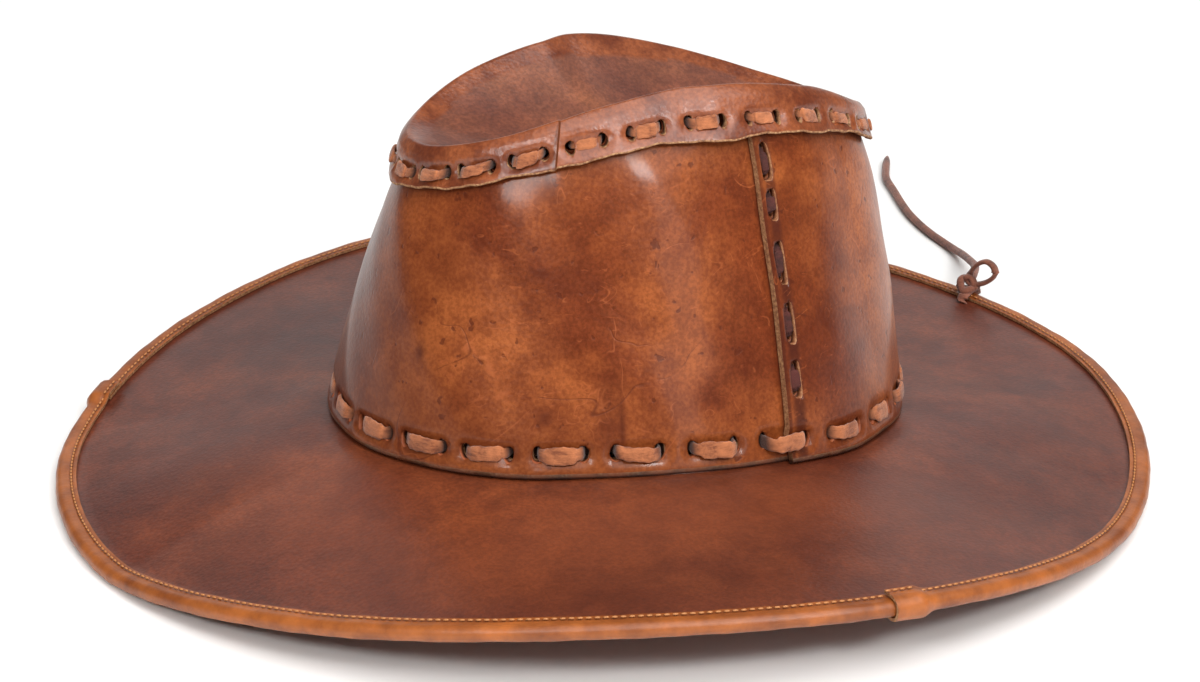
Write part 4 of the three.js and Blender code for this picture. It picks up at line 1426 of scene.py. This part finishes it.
def smooth_line(controls, steps, closed):
    """Catmull-Rom curve through the controls."""
    controls = np.asarray(controls, float)
    if closed:
        padded = np.concatenate([controls[-1:], controls, controls[:2]])
    else:
        first, last = 2 * controls[0] - controls[1], 2 * controls[-1] - controls[-2]
        padded = np.concatenate([[first], controls, [last]])
    line = []
    for a, b, c, d in zip(padded, padded[1:], padded[2:], padded[3:]):
        for t in np.arange(steps) / steps:
            curve, twist = 2 * a - 5 * b + 4 * c - d, 3 * b - a - 3 * c + d
            line.append(0.5 * (2 * b + (c - a) * t + curve * t**2 + twist * t**3))
    if not closed:
        line.append(controls[-1])
    return np.array(line)


def oval(sides, across_power, over_power):
    """Corners round a unit oval, as across and over; powers under 1 make it squarer."""
    corners = []
    for turn in np.linspace(0.0, 2 * math.pi, sides + 1)[:-1]:
        c, s = math.cos(turn), math.sin(turn)
        corners.append((math.copysign(abs(c) ** across_power, c), math.copysign(abs(s) ** over_power, s)))
    return corners


# A stitch: share of its half length, metres past that, level from -1 inside to 1 outside, metres off that
STITCH_PATH = (
    (-1.0, -0.0006, -1.0, -0.0007),
    (-1.0, 0.0002, -0.3, 0.0),
    (-1.0, 0.0009, 0.5, 0.0),
    (-1.0, 0.0022, 1.0, -0.0004),
    (-0.5, 0.0, 1.0, 0.0001),
    (0.0, 0.0, 1.0, 0.0002),
    (0.5, 0.0, 1.0, 0.0001),
    (1.0, -0.0022, 1.0, -0.0004),
    (1.0, -0.0009, 0.5, 0.0),
    (1.0, -0.0002, -0.3, 0.0),
    (1.0, 0.0006, -1.0, -0.0007),
)


def lace_piece(name, node, spans, place, faces_at, width, thickness, ring, finish, bulge):
    """A flat lace that runs outside over each stitch and inside between stitches.

    faces_at gives the offsets of the outer and the inner face of the leather at a distance along.
    """
    controls = []
    for i, span in enumerate(spans):
        start, end, scale = span
        middle, half = (start + end) / 2, (end - start) / 2
        wider = 1 + LACE_VARIES["width"] * math.sin(2.4 * i + 1)
        tilt = LACE_VARIES["tilt"] * math.sin(1.7 * i + 4)
        higher = bulge + LACE_VARIES["height"] * math.sin(3.1 * i)
        for share, past, level, off in STITCH_PATH:
            raised = off + (higher if off > 0.0 else 0.0)
            pinch = LACE_VARIES["pinched"] if abs(share) == 1.0 else wider
            controls.append((middle + share * half + past * scale, level, raised, scale, pinch, tilt * share))
    if not ring:
        first, last = controls[0], controls[-1]
        controls.insert(0, (first[0] - SEAM_LACE["tuck"], *first[1:]))
        controls.append((last[0] + SEAM_LACE["tuck"], *last[1:]))
    controls = np.array(controls)
    if ring:
        turn = np.array([FULL_TURN, 0.0, 0.0, 0.0, 0.0, 0.0])
        ahead, behind = controls[:2] + turn, controls[-1:] - turn
        line = smooth_line(np.concatenate([behind, controls, ahead]), CURVE_STEPS, False)
        line = line[CURVE_STEPS:-CURVE_STEPS - 1]
    else:
        line = smooth_line(controls, CURVE_STEPS, False)
    distance, level, raised, scale, pinch, tilt = line.T
    outside, inside = faces_at(distance)
    off = outside * (1 + level) / 2 + inside * (1 - level) / 2 + raised
    step_along = np.gradient(distance) / scale
    step_off = np.gradient(off)
    size = np.hypot(step_along, step_off) + 1e-9
    normal_along, normal_off = -step_off / size, step_along / size
    ripple = np.sin(distance / scale * 820) + np.sin(distance / scale * 2100 + 1)
    uneven = pinch * (1 + LACE_VARIES["ripple"] * ripple)
    rows = []
    for across, over in oval(LACE_SIDES, 0.55, 0.8):
        thick = over * thickness / 2
        aside = across * width / 2 * uneven + tilt
        rows.append(place(distance + normal_along * thick * scale, off + normal_off * thick, aside))
    loops = np.stack(rows, axis=1)
    piece = swept(name, loops, ring, [0] * loops.shape[1], [finish] * 3, crease=180.0)
    # painted shade, darker the further the lace goes in
    paint(piece, "deep", np.repeat(1.15 - level, loops.shape[1]))
    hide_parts(node)
    return piece


def tube(name, route, width, thickness, closed, finish, sharp=1.0):
    """A rounded strip swept along a route. Its width lies level where it can."""
    route = np.asarray(route)
    ahead = np.roll(route, -1, axis=0) if closed else np.vstack([route[1:], 2 * route[-1] - route[-2]])
    behind = np.roll(route, 1, axis=0) if closed else np.vstack([2 * route[0] - route[1], route[:-1]])
    run = ahead - behind
    run /= np.linalg.norm(run, axis=1, keepdims=True)
    side = np.cross(run, (0.0, 0.0, 1.0))
    flat = np.linalg.norm(side, axis=1) < 0.05
    side[flat] = np.array([1.0, 0.0, 0.0])
    side /= np.linalg.norm(side, axis=1, keepdims=True)
    up = np.cross(side, run)
    shrink = np.ones(len(route))
    if not closed:
        shrink[-len(THONG_END):] = THONG_END
    rows = []
    for across, over in oval(THONG_SIDES, sharp, sharp):
        aside, higher = across * width / 2 * shrink, over * thickness / 2 * shrink
        rows.append(route + side * aside[:, None] + up * higher[:, None])
    return swept(name, np.stack(rows, axis=1), closed, [0] * THONG_SIDES, [finish] * 3, crease=180.0)


def joined(name, parts):
    """Several meshes made into one piece."""
    bpy.ops.object.select_all(action="DESELECT")
    for part in parts:
        part.select_set(True)
    bpy.context.view_layer.objects.active = parts[0]
    bpy.ops.object.join()
    parts[0].name = name
    return parts[0]


def tie_frame():
    """Edge of the brim at the tie, and the directions out from it and along it."""
    edge = brim_point(TIE_AZIMUTH, 0.0, 0.0)
    inner = brim_point(TIE_AZIMUTH, LEVEL_EDGE, 0.0)
    out = unit(np.array([edge[0] - inner[0], edge[1] - inner[1], 0.0]))
    side = np.array([-out[1], out[0], 0.0])

    def at(reach, height, across):
        return edge + out * reach + side * across + np.array([0.0, 0.0, height])

    return at


def tie_piece(finish):
    """Band round the brim's edge, knot and bow loop."""
    at = tie_frame()
    top = BINDING_SPACE + THONG_OFF
    bottom = -LEATHER - BINDING_SPACE - THONG_OFF
    band = [
        at(-0.0100, bottom * 0.4, -0.0022),
        at(-0.0104, top * 0.7, -0.0022),
        at(-0.0080, top, -0.0016),
        at(-0.0030, top + 0.0002, -0.0004),
        at(0.0005, top * 0.7, 0.0006),
        at(0.0015, (top + bottom) / 2, 0.0012),
        at(0.0005, bottom * 0.9, 0.0018),
        at(-0.0040, bottom, 0.0008),
        at(-0.0085, bottom, -0.0012),
    ]
    parts = [tube("band", smooth_line(band, THONG_STEPS, True), *BAND_SIZE, True, finish, 0.7)]
    for strand in TIE_STRANDS:
        route = [at(reach, top + THONG_OFF + height, across) for reach, height, across in strand["route"]]
        line = smooth_line(route, THONG_STEPS, True)
        sizes = strand["width"], strand["thickness"]
        parts.append(tube(strand["name"], line, *sizes, True, finish, strand["sharp"]))
    piece = joined("hat_tie", parts)
    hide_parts("brim_tie")
    return piece


def tail_piece(finish):
    """Loose end of the thong, lying behind the hat."""
    controls = [(x - MIDDLE[0], y - MIDDLE[1], z) for x, y, z in TAIL_ROUTE]
    line = smooth_line(controls, TAIL_STEPS, False)
    piece = tube("hat_tail", line, TAIL_DIAMETER, TAIL_DIAMETER * 0.9, False, finish)
    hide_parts("tie_tail")
    return piece


# Operators

def direction(azimuth, elevation):
    """Unit vector from the hat towards an azimuth and an elevation in degrees."""
    turn, rise = math.radians(azimuth), math.radians(elevation)
    return Vector((math.sin(turn) * math.cos(rise), -math.cos(turn) * math.cos(rise), math.sin(rise)))


class HAT_OT_stage(bpy.types.Operator):
    """Adds the camera at the photograph's angle, the pale floor and the soft studio light"""

    bl_idname = "hat.stage"
    bl_label = "Stage"

    def execute(self, context):
        back = direction(CAMERA["azimuth"], CAMERA["elevation"])
        lens = bpy.data.cameras.new("camera")
        lens.sensor_width = CAMERA["sensor_mm"]
        lens.lens = CAMERA["focal_pixels"] / CAMERA["frame_width"] * CAMERA["sensor_mm"]
        lens.shift_x = -CAMERA["offset_pixels"][0] / CAMERA["frame_width"]
        lens.shift_y = CAMERA["offset_pixels"][1] / CAMERA["frame_width"]
        camera = bpy.data.objects.new("camera", lens)
        camera.location = Vector(CAMERA["target"]) + back * CAMERA["distance"]
        camera.rotation_euler = back.to_track_quat("Z", "Y").to_euler()
        context.scene.collection.objects.link(camera)
        context.scene.camera = camera
        self.floor(context)
        for row in LIGHTS:
            self.light(context, **row)
        sun = bpy.data.lights.new("ceiling", "SUN")
        sun.energy = CEILING["strength"]
        sun.angle = math.radians(CEILING["spread"])
        ceiling = bpy.data.objects.new("ceiling", sun)
        ceiling.location = (0.0, 0.0, CEILING["height"])
        ceiling.rotation_euler = (math.radians(CEILING["tilt"]), 0.0, math.radians(CEILING["turn"]))
        context.scene.collection.objects.link(ceiling)
        world = bpy.data.worlds.new("studio")
        world.use_nodes = True
        background = world.node_tree.nodes["Background"]
        background.inputs["Color"].default_value = (1.0, 1.0, 1.0, 1.0)
        background.inputs["Strength"].default_value = ROOM_STRENGTH
        context.scene.world = world
        context.scene.view_settings.view_transform = "Standard"
        return {"FINISHED"}

    def floor(self, context):
        mesh = bpy.data.meshes.new("floor")
        corners = [(x * FLOOR_HALF, y * FLOOR_HALF, 0.0) for x, y in ((-1, -1), (1, -1), (1, 1), (-1, 1))]
        mesh.from_pydata(corners, [], [(0, 1, 2, 3)])
        mesh.materials.append(matte("floor", tuple(context.scene.hat_colours.floor)))
        floor = bpy.data.objects.new("floor", mesh)
        context.scene.collection.objects.link(floor)

    def light(self, context, name, azimuth, elevation, distance, size, power):
        out = direction(azimuth, elevation)
        lamp = bpy.data.lights.new(name, "AREA")
        lamp.shape = "RECTANGLE"
        lamp.size, lamp.size_y = size
        lamp.energy = power
        softbox = bpy.data.objects.new(name, lamp)
        softbox.location = Vector(LIGHTS_AIM) + out * distance
        softbox.rotation_euler = out.to_track_quat("Z", "Y").to_euler()
        context.scene.collection.objects.link(softbox)


class HAT_OT_brim(bpy.types.Operator):
    """Adds the brim with the collar that the crown is laced to"""

    bl_idname = "hat.brim"
    bl_label = "Brim"

    def execute(self, context):
        brim_piece(context.scene.hat_colours)
        return {"FINISHED"}


class HAT_OT_binding(bpy.types.Operator):
    """Adds the two binding strips on the brim's edge and their rows of stitches"""

    bl_idname = "hat.binding"
    bl_label = "Binding"

    def execute(self, context):
        colours, sizes = context.scene.hat_colours, context.scene.hat_sizes
        under = BINDING_LAP_ANGLE - BINDING_END_GAP
        left_again = LEFT_JOINT + FULL_TURN
        binding_piece("hat_binding_back", "binding_back", LEFT_JOINT, RIGHT_JOINT + under, colours)
        binding_piece("hat_binding_front", "binding_front", RIGHT_JOINT, left_again + under, colours)
        stitch_row("hat_stitches_top", 1, sizes)
        stitch_row("hat_stitches_under", -1, sizes)
        return {"FINISHED"}


class HAT_OT_crown(bpy.types.Operator):
    """Adds the crown's front and back panels and the top panel with its folded rim"""

    bl_idname = "hat.crown"
    bl_label = "Crown"

    def execute(self, context):
        colours = context.scene.hat_colours
        end = SEAM_AZIMUTH + LAP_ANGLE
        wall_piece("hat_crown_front", "crown_front", (-end, end), np.zeros_like, colours)
        back = (SEAM_AZIMUTH, FULL_TURN - SEAM_AZIMUTH)
        wall_piece("hat_crown_back", "crown_back", back, seam_lift, colours)
        top_piece(colours)
        return {"FINISHED"}


class HAT_OT_laces(bpy.types.Operator):
    """Adds the suede laces round the foot and the rim and the dark laces of the side seams"""

    bl_idname = "hat.laces"
    bl_label = "Laces"

    def execute(self, context):
        sizes, colours = context.scene.hat_sizes, context.scene.hat_colours
        tan = kept(suede, "tan_suede", tuple(colours.lace))
        dark = kept(suede, "dark_suede", tuple(colours.seam_lace), 0.7, 0.03)
        thick = sizes.lace_thickness

        def base_faces(azimuth):
            return seam_lift(azimuth), -(2 * LEATHER + GAP)

        def rim_faces(azimuth):
            return seam_lift(azimuth) + GAP + LEATHER, -LEATHER

        def seam_faces(_):
            return LAP_LIFT - SEAM_LACE["sunk"], -LEATHER

        base = ring_spans(BASE_LACE, base_place)
        lace = lace_piece(
            "hat_base_lace", "base_lace", base, base_place, base_faces,
            sizes.base_lace_width, thick, True, tan, BASE_LACE["bulge"],
        )
        rim = ring_spans(RIM_LACE, rim_place)
        lace = lace_piece(
            "hat_rim_lace", "rim_lace", rim, rim_place, rim_faces,
            sizes.rim_lace_width, thick * 0.85, True, tan, RIM_LACE["bulge"],
        )
        for hand, side in ((1, "left"), (-1, "right")):
            lace = lace_piece(
                f"hat_{side}_seam_lace", f"{side}_seam_lace", seam_spans(hand), seam_place(hand), seam_faces,
                sizes.seam_lace_width, thick * 0.7, False, dark, SEAM_LACE["bulge"],
            )
        return {"FINISHED"}


class HAT_OT_tie(bpy.types.Operator):
    """Adds the thong tied round the brim's back edge and its loose end"""

    bl_idname = "hat.tie"
    bl_label = "Tie"

    def execute(self, context):
        finish = kept(suede, "brown_suede", tuple(context.scene.hat_colours.thong), 0.6)
        tail_piece(finish)
        tie_piece(finish)
        return {"FINISHED"}


class HAT_PT_panel(bpy.types.Panel):
    """Lists the hat's pieces, sizes and colours"""

    bl_label = "Leather hat"
    bl_idname = "HAT_PT_panel"
    bl_space_type = "VIEW_3D"
    bl_region_type = "UI"
    bl_category = "Hat"

    def draw(self, context):
        layout = self.layout
        for group in (context.scene.hat_sizes, context.scene.hat_colours):
            for name in group.__annotations__:
                layout.prop(group, name)
        for operator in OPERATORS:
            layout.operator(operator.bl_idname)


OPERATORS = (HAT_OT_stage, HAT_OT_tie, HAT_OT_brim, HAT_OT_binding, HAT_OT_crown, HAT_OT_laces)
CLASSES = (HatSizes, HatColours, *OPERATORS, HAT_PT_panel)


def register():
    for each in CLASSES:
        bpy.utils.register_class(each)
    bpy.types.Scene.hat_sizes = PointerProperty(type=HatSizes)
    bpy.types.Scene.hat_colours = PointerProperty(type=HatColours)


def unregister():
    del bpy.types.Scene.hat_colours
    del bpy.types.Scene.hat_sizes
    for each in reversed(CLASSES):
        bpy.utils.unregister_class(each)


def main():
    """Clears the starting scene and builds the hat."""
    for name in ("Cube", "Light", "Camera"):
        if name in bpy.data.objects:
            bpy.data.objects.remove(bpy.data.objects[name])
    register()
    bpy.ops.hat.stage()
    bpy.ops.hat.tie()
    bpy.ops.hat.brim()
    bpy.ops.hat.binding()
    bpy.ops.hat.crown()
    bpy.ops.hat.laces()


if __name__ == "__main__":
    main()
